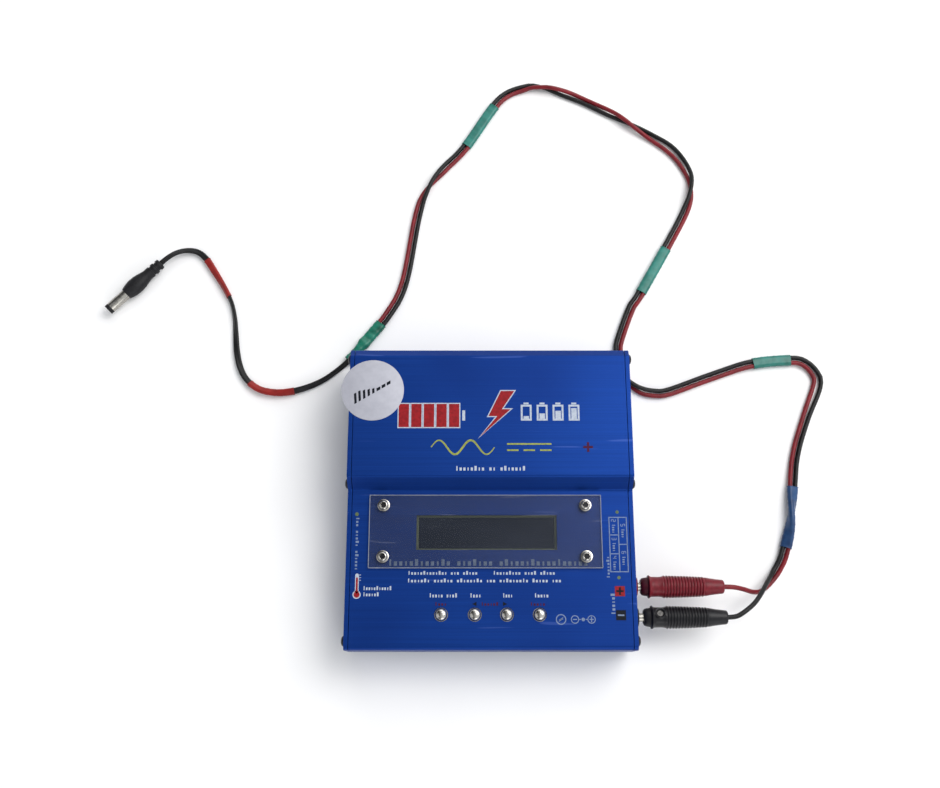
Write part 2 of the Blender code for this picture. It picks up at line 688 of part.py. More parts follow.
class Route:
    """A smooth line that can be read at a distance along it."""

    def __init__(self, points):
        self.line = smooth_line(points)
        self.marks = [0.0]
        for first, second in zip(self.line, self.line[1:]):
            self.marks.append(self.marks[-1] + (second - first).length)
        self.length = self.marks[-1]

    def at(self, distance):
        distance = min(max(distance, 0.0), self.length)
        index = next(i for i, mark in enumerate(self.marks[1:]) if mark >= distance - 1e-9)
        span = self.marks[index + 1] - self.marks[index]
        return self.line[index].lerp(self.line[index + 1], (distance - self.marks[index]) / span)

    def direction(self, distance):
        return (self.at(distance + 1.0) - self.at(distance - 1.0)).normalized()

    def evenly(self, spacing):
        count = max(2, round(self.length / spacing))
        return [self.at(self.length * step / count) for step in range(count + 1)]


def ease(value):
    value = min(max(value, 0.0), 1.0)
    return value * value * (3 - 2 * value)


def turn_angle(distance):
    """How far the pair has turned over by this distance along it."""
    angle = 0.0
    for order, (mark, on_top) in enumerate(HALF_TURNS):
        done = ease((distance - mark) / HALF_TURN_LENGTH + 0.5)
        angle += math.pi * done * on_top * (-1) ** order
    return angle


def spread(distance):
    extra = sum(more * math.exp(-(((distance - mark) / reach) ** 2)) for mark, reach, more in OPEN_STRETCHES)
    return WIRE_SPREAD + extra


def sleeve_lift(distance):
    """Wires rise a little where a sleeve's wall lies under them."""
    rise = 0.0
    for first, last in [*PAIR_SLEEVES.values(), JUNCTION_SPAN]:
        rise = max(rise, ease((distance - first + 14) / 10) * ease((last + 14 - distance) / 10))
    return WIRE_LIFT * rise


def pair_centre(distance):
    middle = PAIR.at(distance)
    rise = spread(distance) * abs(math.sin(turn_angle(distance)))
    return Vector((middle.x, middle.y, WIRE_RADIUS + 0.05 + sleeve_lift(distance) + rise))


def across_pair(along, angle):
    """Unit vector from the pair's middle to the red wire."""
    level = Vector((along.y, -along.x, 0)).normalized()
    return level * math.cos(angle) + Vector((0, 0, math.sin(angle)))


def wire_point(distance, side):
    """Centre of one wire of the pair; side is 1 for the red wire and -1 for the black one."""
    across = across_pair(PAIR.direction(distance), turn_angle(distance))
    return pair_centre(distance) + across * side * spread(distance)


PAIR = Route(PAIR_ROUTE)
TWIN_LINE = Route(TWIN_ROUTE)
JUNCTION_SPAN = (PAIR.length - JUNCTION_ON_PAIR, PAIR.length)


def wire_stations():
    count = round(PAIR.length / STATION)
    return [PAIR.length * step / count for step in range(count + 1)]


def tube(name, points, radius, finish):
    """A cord as a poly curve with round caps at each end."""
    curve = bpy.data.curves.new(name, "CURVE")
    curve.dimensions = "3D"
    curve.bevel_depth = radius * MM
    curve.bevel_resolution = 2
    curve.use_fill_caps = True
    spline = curve.splines.new("POLY")
    spline.points.add(len(points) - 1)
    for knot, point in zip(spline.points, points):
        knot.co = (*(point * MM), 1)
    return place(name, curve, finish)


def make_wires():
    for name, lead_in, side in (("red", RED_LEAD_IN, 1), ("black", BLACK_LEAD_IN, -1)):
        joined = [Vector(point) for point in lead_in]
        stations = [wire_point(distance, side) for distance in wire_stations()]
        approach = Route(joined + stations[:2])
        steps = round(approach.length / 5.0)
        points = [approach.at(approach.length * step / steps) for step in range(steps)]
        points = [point for point in points if (point - stations[0]).length > 3.0 and point.x < stations[0].x]
        tube(f"{name}_wire", points + stations, WIRE_RADIUS, f"{name}_silicone")
    tube("twin_cable", TWIN_LINE.evenly(8.0), TWIN_RADIUS, "black_silicone")


def slot_ring(centre, along, angle, half_length, radius, arc_steps=4):
    """Points round a slot that stands across a route: two half circles about two centres."""
    across = across_pair(along, angle)
    upright = along.normalized().cross(across)
    points = []
    for end in (1, -1):
        for step in range(arc_steps + 1):
            turn = math.pi * step / arc_steps - math.pi / 2
            offset = across * (half_length + radius * math.cos(turn)) * end
            points.append(centre + offset + upright * radius * math.sin(turn) * end)
    return points


def sleeve(name, rings, finish):
    """A thin tube lofted along a route; each ring is (centre, along, angle, half length, radius)."""
    mesh = bpy.data.meshes.new(name)
    shape = bmesh.new()
    walls = []
    for shrink in (0.0, SLEEVE_WALL):
        loops = []
        for centre, along, angle, half_length, radius in rings:
            points = slot_ring(centre, along, angle, half_length, radius - shrink)
            loops.append([shape.verts.new(point * MM) for point in points])
        walls.append(loops)
    for loops in walls:
        for first, second in zip(loops, loops[1:]):
            bridge(shape, first, second)
    bridge(shape, walls[1][0], walls[0][0])
    bridge(shape, walls[0][-1], walls[1][-1])
    bmesh.ops.recalc_face_normals(shape, faces=shape.faces)
    shape.to_mesh(mesh)
    shape.free()
    return place(name, round_shaded(mesh), finish)


def bridge(shape, first, second):
    """Quads between two closed loops."""
    for step in range(len(first)):
        following = (step + 1) % len(first)
        shape.faces.new((first[step], first[following], second[following], second[step]))


def make_sleeves():
    snug = WIRE_RADIUS + SLEEVE_ROOM + SLEEVE_WALL
    for name, (first, last) in PAIR_SLEEVES.items():
        count = round((last - first) / (3.5 if name == "blue_sleeve" else 7.0))
        rings = [pair_ring(first + (last - first) * step / count, snug) for step in range(count + 1)]
        sleeve(name, rings, "blue_shrink" if name == "blue_sleeve" else "green_shrink")
    loose = TWIN_RADIUS + SLEEVE_ROOM + SLEEVE_WALL
    rings = [pair_ring(JUNCTION_SPAN[0] + step, snug) for step in (0.0, 4.0, 8.0)]
    for distance, half_length in ((0.0, 1.35), (2.5, 1.0), (6.0, 0.4), (10.0, 0.4), (JUNCTION_ON_TWIN, 0.6)):
        centre = TWIN_LINE.at(distance)
        rings.append((centre, TWIN_LINE.direction(distance), turn_angle(PAIR.length), half_length, loose))
    sleeve("junction_sleeve", rings, "dark_green_shrink")


def pair_ring(distance, radius):
    along = PAIR.direction(distance).to_3d()
    return pair_centre(distance), along, turn_angle(distance), spread(distance), radius


def make_output_plugs():
    """Ribbed 4 mm plugs: a collar and flange at the nose, a tapering ribbed grip, and a slim tail."""
    ribs = []
    for rib in range(9):
        start = 10.9 + rib * 2.15
        top = 5.3 - 0.1 * rib
        ribs += [(top - 0.45, start), (top, start + 0.4), (top, start + 1.5)]
    outline = [
        (0, 0), (3.2, 0), (4.2, 1.4), (4.3, 3.0), (5.4, 3.5), (5.4, 4.2), (4.7, 5.0), (4.6, 10.3),
        *ribs, (3.9, 30.8), (3.1, PLUG_LENGTH - 1.0), (2.6, PLUG_LENGTH), (0, PLUG_LENGTH),
    ]
    tip = ((0, 0), (1.1, 0), (1.95, 1.6), (1.95, 15.0), (0, 15.0))
    for colour, (y, nose) in JACKS.items():
        at = (nose, y, JACK_Z)
        turned(f"{colour}_plug_grip", outline[::-1], f"{colour}_plastic", at, ALONG_X, sides=16)
        at = (nose - GAP - 15.0, y, JACK_Z)
        turned(f"{colour}_plug_pin", tip[::-1], "bright_steel", at, ALONG_X, sides=12)


def make_barrel_plug():
    """A moulded grip with a bright hollow barrel; local Z points at the barrel's mouth."""
    turn = Matrix.Rotation(BARREL_ANGLE, 4, "Z") @ ALONG_X
    at = (*BARREL_TAIL, BARREL_Z)
    grip = (
        (0, 24.3), (3.1, 24.3), (3.9, 22.2), (4.4, 18.8), (4.3, 15.2), (3.6, 11.0), (2.9, 8.4),
        (2.9, 6.6), (2.4, 6.3), (2.4, 5.5), (2.9, 5.2), (2.9, 3.4), (2.4, 3.1), (2.4, 2.3), (2.9, 2.0),
        (2.9, 0), (0, 0),
    )
    turned("barrel_plug_grip", grip, "black_plastic", at, turn, sides=16)
    mouth = 24.3 + GAP + 12.0
    shell = (
        (0, mouth - 9.0), (1.3, mouth - 9.0), (1.3, mouth - 0.3), (2.2, mouth), (2.75, mouth - 0.4),
        (2.75, mouth - 12.0), (0, mouth - 12.0),
    )
    turned("barrel_plug_shell", shell, "bright_steel", at, turn, sides=16)


def build():
    make_covers()
    make_end_plates()
    make_side_screws()
    make_feet()
    make_label()
    make_display()
    make_buttons()
    make_boards()
    make_fan()
    make_sockets()
    make_output_jacks()
    make_mains_inlet()
    make_dc_jack()
    make_wires()
    make_sleeves()
    make_output_plugs()
    make_barrel_plug()


build()
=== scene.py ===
"""Looks of the balance battery charger and its output lead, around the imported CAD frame."""

from math import cos, exp, pi, radians, sin, sqrt, tan, tau

import bmesh
import bpy
from mathutils import Matrix, Vector


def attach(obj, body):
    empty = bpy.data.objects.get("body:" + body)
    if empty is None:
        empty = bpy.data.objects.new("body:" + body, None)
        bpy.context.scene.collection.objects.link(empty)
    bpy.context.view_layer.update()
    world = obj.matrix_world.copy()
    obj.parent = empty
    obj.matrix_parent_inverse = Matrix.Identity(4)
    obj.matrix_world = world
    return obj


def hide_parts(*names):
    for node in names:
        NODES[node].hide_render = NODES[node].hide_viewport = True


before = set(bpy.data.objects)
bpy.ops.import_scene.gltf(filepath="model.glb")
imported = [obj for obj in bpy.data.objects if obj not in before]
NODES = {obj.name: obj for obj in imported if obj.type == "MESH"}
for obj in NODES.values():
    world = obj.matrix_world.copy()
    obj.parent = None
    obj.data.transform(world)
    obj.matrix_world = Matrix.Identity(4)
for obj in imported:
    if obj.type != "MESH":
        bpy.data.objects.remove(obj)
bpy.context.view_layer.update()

MM = 0.001
CASE_X = 0.9  # the case's middle along the frame's X, in millimetres
CASE, LEAD = "charger", "output_lead"


# ---------------------------------------------------------------- materials


def put(made, **values):
    """Sets properties, or else a node's sockets, by name."""
    for key, value in values.items():
        if hasattr(made, key):
            setattr(made, key, value)
        else:
            made.inputs[key.replace("_", " ")].default_value = value
    return made


def node(tree, kind, **values):
    return put(tree.nodes.new(kind), **values)


def ranged(tree, value, source=(0.0, 1.0), result=(0.0, 1.0), **values):
    """A value mapped from one range to another."""
    made = node(tree, "ShaderNodeMapRange", From_Min=source[0], From_Max=source[1], To_Min=result[0],
                To_Max=result[1], **values)
    tree.links.new(value, made.inputs["Value"])
    return made.outputs["Result"]


def blended(tree, share, first, second, kind="RGBA"):
    """A mix of two sources, each a constant or another node's output."""
    made = node(tree, "ShaderNodeMix", data_type=kind)
    tree.links.new(share, made.inputs["Factor"])
    for socket, source in (("A", first), ("B", second)):
        if isinstance(source, bpy.types.NodeSocket):
            tree.links.new(source, made.inputs[socket])
        else:
            made.inputs[socket].default_value = source
    return made.outputs["Result"]


def speckle(tree, scale, turn=0.0, **values):
    """Noise over the object's own coordinates, with a scale for each axis."""
    place = node(tree, "ShaderNodeTexCoord")
    stretch = node(tree, "ShaderNodeMapping", Scale=scale, Rotation=(0, 0, turn))
    noise = node(tree, "ShaderNodeTexNoise", Scale=1.0, **values)
    tree.links.new(place.outputs["Object"], stretch.inputs["Vector"])
    tree.links.new(stretch.outputs["Vector"], noise.inputs["Vector"])
    return noise.outputs["Fac"]


def finish(
    name, dark, light, roughness, grain, metallic=0.0, specular=0.5, bump=0.1, relief=0.05, detail=3.0,
    contrast=(0.35, 0.65), coat=0.0, alpha=1.0, cloud_colour=None, scratch_colour=None,
    scratches=(26, 420, 150),
):
    """A Principled material whose colour, roughness and relief follow one noise.

    The grain is the noise's scale, as one number or one for each axis. The relief is in millimetres.
    """
    made = bpy.data.materials.new(name)
    made.use_nodes = True
    tree = made.node_tree
    shader = tree.nodes["Principled BSDF"]
    noise = speckle(tree, grain if isinstance(grain, tuple) else (grain,) * 3, Detail=detail, Roughness=0.6)
    colour = blended(tree, ranged(tree, noise, contrast), (*dark, 1), (*light, 1))
    if cloud_colour:
        wide = speckle(tree, (14.0,) * 3, Detail=2.0)
        colour = blended(tree, ranged(tree, wide, (0.45, 0.75), (0.0, 0.6)), colour, (*cloud_colour, 1))
    if scratch_colour:
        # Short thin marks of wear, lying in a slightly different direction from the grain.
        fine = speckle(tree, scratches, turn=0.5, Detail=1.0)
        colour = blended(tree, ranged(tree, fine, (0.725, 0.76), (0.0, 0.45)), colour, (*scratch_colour, 1))
    tree.links.new(colour, shader.inputs["Base Color"])
    tree.links.new(ranged(tree, noise, result=roughness), shader.inputs["Roughness"])
    if bump:
        raised = node(tree, "ShaderNodeBump", Strength=bump, Distance=relief * MM)
        tree.links.new(noise, raised.inputs["Height"])
        tree.links.new(raised.outputs["Normal"], shader.inputs["Normal"])
    put(shader, Metallic=metallic, Specular_IOR_Level=specular, Coat_Weight=coat, Alpha=alpha)
    return made


BLUE = finish(
    "anodised_blue", (0.0045, 0.033, 0.2), (0.006, 0.043, 0.25), (0.36, 0.5), (9, 1500, 1500), metallic=0.66,
    specular=0.15, relief=0.015, detail=4.0, contrast=(0.3, 0.7), cloud_colour=(0.0035, 0.023, 0.155),
    scratch_colour=(0.05, 0.1, 0.36),
)
PAPER = finish("label_paper", (0.38, 0.385, 0.44), (0.42, 0.425, 0.48), (0.42, 0.55), 260, bump=0.05)
CLEAR = finish(
    "clear_acrylic", (0.034, 0.042, 0.058), (0.054, 0.066, 0.088), (0.24, 0.34), (12, 40, 30), bump=0.0,
    alpha=0.2, scratch_colour=(0.6, 0.62, 0.65), scratches=(30, 500, 300),
)
# A painted highlight: a lighter, less clear material for the acrylic plate's sides, standing in for the light
# caught along its edges.
CLEAR_EDGE_HIGHLIGHT = finish(
    "acrylic_edge_painted_highlight", (0.28, 0.31, 0.37), (0.4, 0.43, 0.49), (0.25, 0.4), (200, 200, 900), alpha=0.6,
)
OLIVE = finish("display_rim", (0.085, 0.105, 0.05), (0.12, 0.14, 0.075), (0.4, 0.5), 500, 0.1, bump=0.06)
SCREEN = finish(
    "display_screen", (0.002, 0.004, 0.012), (0.004, 0.007, 0.018), (0.25, 0.35), (60, 900, 60), bump=0.02,
    specular=0.08,
)
BOARD = finish("solder_mask", (0.008, 0.09, 0.03), (0.012, 0.14, 0.05), (0.3, 0.45), 400, coat=0.3)
WINDING = finish(
    "taped_winding", (0.35, 0.2, 0.04), (0.5, 0.32, 0.08), (0.4, 0.55), (50, 50, 1400), bump=0.4,
)

STEEL = finish(
    "polished_steel", (0.42, 0.4, 0.37), (0.56, 0.54, 0.5), (0.14, 0.26), 700, 1.0, bump=0.04, relief=0.01,
)
NICKEL = finish(
    "nickel_plate", (0.32, 0.31, 0.28), (0.44, 0.42, 0.38), (0.2, 0.34), 500, 1.0, bump=0.05, relief=0.01,
)
BRASS = finish("brass_pins", (0.62, 0.42, 0.16), (0.75, 0.55, 0.25), (0.22, 0.34), 600, 1.0, bump=0.04)
DULL_STEEL = finish(
    "worn_steel", (0.07, 0.068, 0.066), (0.15, 0.145, 0.14), (0.3, 0.45), 900, 1.0, relief=0.02,
)
BLACK_STEEL = finish("black_oxide", (0.012, 0.012, 0.014), (0.03, 0.03, 0.034), (0.3, 0.45), 900, 0.7)

RUBBER = finish("foot_rubber", (0.01,) * 3, (0.022,) * 3, (0.75, 0.9), 1400, bump=0.3)
NYLON = finish("natural_nylon", (0.62, 0.59, 0.5), (0.72, 0.69, 0.61), (0.4, 0.55), 350, bump=0.08)
BLACK_PLASTIC = finish(
    "black_moulding", (0.006, 0.006, 0.007), (0.013, 0.013, 0.015), (0.42, 0.6), 1100, specular=0.25,
    bump=0.25,
)
BLACK_GLOSS = finish(
    "black_grip", (0.005, 0.005, 0.007), (0.011, 0.011, 0.013), (0.3, 0.44), 420, specular=0.25, bump=0.12,
)
RED_PLASTIC = finish(
    "red_moulding", (0.12, 0.006, 0.012), (0.175, 0.009, 0.018), (0.32, 0.46), 420, specular=0.25, bump=0.12,
)
# A darker red used as painted shade on the red plug's collar.
DARK_RED = finish(
    "shaded_red_moulding", (0.03, 0.002, 0.007), (0.05, 0.003, 0.01), (0.35, 0.5), 420, specular=0.2,
)
RED_WIRE = finish(
    "red_silicone", (0.13, 0.005, 0.01), (0.21, 0.008, 0.015), (0.36, 0.5), 240, specular=0.3,
)
BLACK_WIRE = finish(
    "black_silicone", (0.004, 0.004, 0.004), (0.01, 0.01, 0.011), (0.36, 0.5), 240, specular=0.25,
)
TEAL = finish(
    "teal_shrink", (0.01, 0.12, 0.095), (0.022, 0.2, 0.165), (0.25, 0.42), 130, specular=0.35, bump=0.35,
    relief=0.12,
)
DEEP_GREEN = finish(
    "deep_green_shrink", (0.005, 0.09, 0.055), (0.012, 0.2, 0.13), (0.25, 0.4), 150, specular=0.35, bump=0.35,
    relief=0.12,
)
NAVY = finish(
    "navy_shrink", (0.012, 0.035, 0.1), (0.02, 0.065, 0.17), (0.28, 0.4), 200, specular=0.3, bump=0.25,
    relief=0.08,
)
SCARLET = finish(
    "scarlet_shrink", (0.2, 0.012, 0.01), (0.29, 0.018, 0.015), (0.32, 0.46), 220, specular=0.25, bump=0.2,
    relief=0.06,
)

INK_ROUGHNESS, INK_GRAIN = (0.5, 0.65), 900
INK_WHITE = finish(
    "white_ink", (0.3, 0.35, 0.44), (0.44, 0.49, 0.57), INK_ROUGHNESS, INK_GRAIN, contrast=(0.25, 0.6),
)
INK_GREY = finish("grey_ink", (0.12, 0.17, 0.28), (0.18, 0.24, 0.37), INK_ROUGHNESS, INK_GRAIN)
INK_RED = finish("red_ink", (0.2, 0.004, 0.008), (0.3, 0.007, 0.012), (0.45, 0.6), 700, specular=0.2)
INK_DARK_RED = finish(
    "dark_red_ink", (0.045, 0.004, 0.02), (0.07, 0.006, 0.03), INK_ROUGHNESS, INK_GRAIN, specular=0.15,
)
INK_OLIVE = finish("olive_ink", (0.06, 0.09, 0.035), (0.1, 0.14, 0.05), INK_ROUGHNESS, INK_GRAIN)
INK_YELLOW = finish("yellow_ink", (0.19, 0.22, 0.03), (0.31, 0.34, 0.05), INK_ROUGHNESS, INK_GRAIN)
INK_BLACK = finish(
    "black_ink", (0.003, 0.004, 0.008), (0.008, 0.01, 0.016), (0.45, 0.6), INK_GRAIN, specular=0.12,
)


# ---------------------------------------------------------------- shapes


def placed(name, data):
    """A new object in the scene."""
    made = bpy.data.objects.new(name, data)
    bpy.context.scene.collection.objects.link(made)
    return made


def add(name, data, material, slot=None, *stands_for, body=CASE):
    """A finished piece of the object, riding on a body."""
    made = placed(name, data)
    data.materials.clear()
    data.materials.append(material)
    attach(made, body)
    if stands_for:
        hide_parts(*stands_for)
    return made


def to_mesh(name, shape, angle=32):
    mesh = bpy.data.meshes.new(name)
    bmesh.ops.recalc_face_normals(shape, faces=shape.faces)
    shape.to_mesh(mesh)
    shape.free()
    mesh.shade_smooth()
    mesh.set_sharp_from_angle(angle=radians(angle))
    return mesh


def bridge(shape, first, second):
    for step in range(len(first)):
        following = (step + 1) % len(first)
        shape.faces.new((first[step], first[following], second[following], second[step]))


def case_point(point):
    """A point in millimetres about the case's middle, as a place in the frame, in metres."""
    x, y, z = point
    return Vector((x + CASE_X, y, z)) * MM


def frame_at(point, axis):
    """A matrix that lays local Z along an axis at a point."""
    turn = Vector(axis).to_track_quat("Z", "Y").to_matrix().to_4x4()
    return Matrix.Translation(case_point(point)) @ turn


def lathe(name, profile, point, axis=(0, 0, 1), segments=48):
    """A turned mesh: (radius, height) pairs, in millimetres, from one end on the axis to the other."""
    shape = bmesh.new()
    matrix = frame_at(point, axis)
    rings = []
    for radius, height in profile:
        if radius < 1e-6:
            rings.append([shape.verts.new(matrix @ (Vector((0, 0, height)) * MM))])
            continue
        ring = []
        for step in range(segments):
            angle = tau * step / segments
            spot = Vector((radius * cos(angle), radius * sin(angle), height)) * MM
            ring.append(shape.verts.new(matrix @ spot))
        rings.append(ring)
    for first, second in zip(rings, rings[1:]):
        if len(first) == 1 or len(second) == 1:
            pole, ring = (first[0], second) if len(first) == 1 else (second[0], first)
            for step in range(segments):
                shape.faces.new((pole, ring[step], ring[(step + 1) % segments]))
        else:
            bridge(shape, first, second)
    return to_mesh(name, shape)


def softened(corners, steps=6):
    """Corner points (u, v, radius) with an arc at each corner that has a radius."""
    points = []
    for index, (u, v, radius) in enumerate(corners):
        here = Vector((u, v))
        if not radius:
            points.append(here)
            continue
        before = (Vector(corners[index - 1][:2]) - here).normalized()
        after = (Vector(corners[(index + 1) % len(corners)][:2]) - here).normalized()
        half = before.angle(after) / 2
        centre = here + (before + after).normalized() * radius / sin(half)
        start = here + before * radius / tan(half) - centre
        end = here + after * radius / tan(half) - centre
        points += [centre + start.slerp(end, step / steps) * radius for step in range(steps + 1)]
    return points


def prism(outlines, axis, low, high):
    """Outlines (lists of 2D points, in millimetres) drawn out between two levels along X or Z."""
    shape = bmesh.new()
    for outline in outlines:
        loops = []
        for level in (low, high):
            spots = [(level, u, v) if axis == "X" else (u, v, level) for u, v in outline]
            loops.append([shape.verts.new(case_point(spot)) for spot in spots])
        shape.faces.new(loops[0][::-1])
        shape.faces.new(loops[1])
        bridge(shape, loops[0], loops[1])
    return to_mesh("prism", shape)


def oblong(x, y, width, height):
    return [(x - width / 2, y - height / 2), (x + width / 2, y - height / 2),
            (x + width / 2, y + height / 2), (x - width / 2, y + height / 2)]


def circle(x, y, radius, sides=48):
    return [(x + radius * cos(tau * i / sides), y + radius * sin(tau * i / sides))
            for i in range(sides)]


def upright(x, y, radius, low, high, sides=48):
    """A round post that stands along Z."""
    return prism([circle(x, y, radius, sides)], "Z", low, high)


def rounded_box(size, centre, radius, steps=3):
    """A box with its edges rounded, in millimetres."""
    shape = bmesh.new()
    bmesh.ops.create_cube(shape, size=1.0)
    bmesh.ops.scale(shape, vec=Vector(size) * MM, verts=shape.verts)
    bmesh.ops.translate(shape, vec=case_point(centre), verts=shape.verts)
    bmesh.ops.bevel(
        shape, geom=list(shape.edges), offset=radius * MM, segments=steps, profile=0.5, affect="EDGES",
    )
    return to_mesh("box", shape)


def applied(work):
    """The mesh of an object with its modifiers applied."""
    bpy.context.view_layer.update()
    return bpy.data.meshes.new_from_object(work.evaluated_get(bpy.context.evaluated_depsgraph_get()))


def carve(mesh, *tools, operation="DIFFERENCE", bevel=0.0):
    """Cuts or joins meshes, rounds the edges if asked, and gives the result as one mesh."""
    work = placed("work", mesh)
    helpers = [placed("tool", tool) for tool in tools]
    for helper in helpers:
        put(work.modifiers.new("carve", "BOOLEAN"), operation=operation, object=helper)
    if bevel:
        put(work.modifiers.new("edge", "BEVEL"), width=bevel * MM, segments=2, limit_method="ANGLE",
            angle_limit=radians(50))
    made = applied(work)
    made.shade_smooth()
    made.set_sharp_from_angle(angle=radians(50 if bevel else 32))
    # The wide flat faces keep their own normals, so the small rounded edges don't bend their shading.
    work.modifiers.clear()
    work.data = made
    put(work.modifiers.new("flat", "WEIGHTED_NORMAL"), keep_sharp=True, weight=90)
    made = applied(work)
    for spare in [work, *helpers]:
        bpy.data.objects.remove(spare, do_unlink=True)
    return made


def joined(*meshes):
    """Several meshes as one."""
    shape = bmesh.new()
    for mesh in meshes:
        shape.from_mesh(mesh)
    mesh = bpy.data.meshes.new("joined")
    shape.to_mesh(mesh)
    shape.free()
    mesh.shade_smooth()
    mesh.set_sharp_from_angle(angle=radians(32))
    return mesh


# ---------------------------------------------------------------- camera, light and floor

CAMERA_PLACE = (-0.0087, -0.0859, 0.516)
CAMERA_TILT = 15.6  # degrees from straight down
CAMERA_LENS, CAMERA_SENSOR = 39.83, 36.0
FLOOR_SIZE, FLOOR_DROP = 3.0, 0.0002
LIGHTS = (
    ("key_light", (0.55, 0.35, 0.9), 7.5, 0.7, (1.0, 0.98, 0.96)),
    ("fill_light", (-0.8, -0.3, 0.8), 2.6, 1.0, (0.95, 0.97, 1.0)),
    ("rear_light", (0.0, 0.9, 0.6), 2.0, 0.7, (1.0, 1.0, 1.0)),
    ("front_light", (0.3, -1.0, 0.45), 2.4, 0.6, (1.0, 1.0, 1.0)),
)


def make_stage():
    camera = placed("camera", bpy.data.cameras.new("camera"))
    camera.location = CAMERA_PLACE
    camera.rotation_euler = (radians(CAMERA_TILT), 0, 0)
    put(camera.data, lens=CAMERA_LENS, sensor_width=CAMERA_SENSOR, clip_start=0.01)
    bpy.context.scene.camera = camera

    shape = bmesh.new()
    bmesh.ops.create_grid(shape, x_segments=2, y_segments=2, size=FLOOR_SIZE)
    floor = placed("floor", to_mesh("floor", shape))
    floor.location.z = -FLOOR_DROP
    floor.data.materials.append(
        finish("floor_paper", (0.92,) * 3, (0.95,) * 3, (0.8, 0.9), 8, bump=0.0, specular=0.1)
    )

    for name, place, power, size, tint in LIGHTS:
        light = placed(name, put(bpy.data.lights.new(name, "AREA"), energy=power, size=size, color=tint))
        light.location = place
        light.rotation_euler = (-Vector(place)).to_track_quat("-Z", "Y").to_euler()

    world = bpy.data.worlds.new("studio")
    world.use_nodes = True
    tree = world.node_tree
    background = tree.nodes["Background"]
    background.inputs["Color"].default_value = (0.95, 0.97, 1.0, 1)
    around = node(tree, "ShaderNodeTexCoord")
    parts = node(tree, "ShaderNodeSeparateXYZ")
    tree.links.new(around.outputs["Generated"], parts.inputs["Vector"])
    # The room is brighter on the right, which the metal case and its screws pick up. Towards the horizon
    # it is pale all round, as a plain backdrop.
    glow = ranged(tree, parts.outputs["X"], (-0.3, 0.3), (0.06, 1.0), interpolation_type="SMOOTHSTEP")
    height = ranged(tree, parts.outputs["Z"], (0.12, 0.42), interpolation_type="SMOOTHSTEP")
    tree.links.new(blended(tree, height, 0.85, glow, "FLOAT"), background.inputs["Strength"])
    bpy.context.scene.world = world
    bpy.context.scene.view_settings.view_transform = "Standard"


# ---------------------------------------------------------------- lead

WIRE_RADIUS = 1.15
TWIN_RADIUS = 1.6
WIRE_SPREAD = 1.35  # from the pair's middle to each wire's
SLEEVE_WALL = 0.3
SLEEVE_ROOM = 0.25
# Places along the pair, in millimetres from the plugs. A half turn's sign says which wire goes over.
HALF_TURN_LENGTH = 44.0
HALF_TURNS = ((27.5, 1), (210.0, -1), (331.5, -1), (388.0, 1), (432.5, 1), (526.5, -1))
OPEN_STRETCHES = ((97.0, 12.0, 0.5), (358.0, 12.0, 0.7))
PAIR_SLEEVES = {
    "blue_sleeve": (12.0, 43.0),
    "green_sleeve_right": (121.0, 140.5),
    "green_sleeve_rear": (263.0, 291.5),
    "green_sleeve_top": (468.5, 497.5),
}
TWIN_BANDS = {"red_sleeve_near": (46.0, 70.5, 1), "red_sleeve_far": (120.5, 145.0, 3)}
# Lengths of each cable under the junction's sleeve.
JUNCTION_ON_PAIR = 12.0
JUNCTION_ON_TWIN = 13.5
PAIR_ROUTE = (
    (141.0, -31.9), (144.8, -24.5), (149.4, -7.2), (154.2, 23.2), (161.3, 44.0), (169.2, 62.6),
    (168.3, 69.4), (163.4, 74.4), (156.3, 75.8), (135.4, 73.7), (114.3, 66.9), (93.2, 59.1),
    (85.5, 58.1), (77.8, 59.6), (71.8, 64.2), (68.2, 72.4), (67.4, 81.6), (68.7, 88.1), (75.1, 104.8),
    (80.2, 112.6), (99.1, 145.8), (107.5, 162.3), (110.2, 172.3), (109.4, 182.5), (102.5, 195.3),
    (89.8, 205.4), (57.3, 225.5), (37.9, 233.4), (29.6, 235.6), (21.2, 235.5), (7.1, 227.8),
    (-11.8, 198.9), (-23.0, 186.2), (-33.0, 172.3), (-37.9, 157.5), (-44.3, 119.4), (-52.4, 101.4),
    (-63.6, 86.4),
)
RED_LEAD_IN = (
    (111.2, -41.3, 16.0), (116.0, -41.5, 15.7), (121.0, -42.3, 13.6), (126.5, -43.2, 9.4),
    (131.5, -42.3, 5.2), (137.0, -38.4, 2.0),
)
BLACK_LEAD_IN = (
    (112.0, -55.5, 16.0), (116.4, -54.9, 16.0), (121.0, -52.2, 15.6), (125.8, -48.4, 13.9),
    (129.8, -44.0, 10.8), (133.6, -39.2, 7.0), (137.0, -35.2, 3.4),
)
TWIN_ROUTE = (
    (-63.85, 86.08, 2.2), (-67.9, 80.9, 2.2), (-72.6, 75.2, 2.2), (-78.0, 70.3, 2.0),
    (-85.9, 64.7, 1.65), (-94.5, 60.7, 2.1), (-102.1, 58.7, 2.3), (-109.8, 58.3, 2.3),
    (-118.0, 60.2, 2.1), (-124.5, 65.2, 1.7), (-128.3, 71.7, 1.65), (-130.6, 80.4, 1.65),
    (-131.7, 89.7, 1.65), (-132.8, 99.1, 1.65), (-135.2, 108.0, 1.7), (-139.7, 116.5, 2.2),
    (-145.4, 125.5, 2.2), (-150.1, 132.4, 1.9), (-154.8, 136.2, 1.8), (-160.0, 136.9, 2.4),
    (-165.0, 135.4, 3.6), (-169.3, 132.4, 4.4), (-172.6, 129.2, 4.6),
)
BARREL_TAIL = (-173.1, 128.7, 4.6)
BARREL_OUT = Vector((cos(radians(226.0)), sin(radians(226.0)), 0))
INTO_GRIP, INTO_BARREL = 2.0, 2.5  # how far the wires and the twin cable run inside the plugs


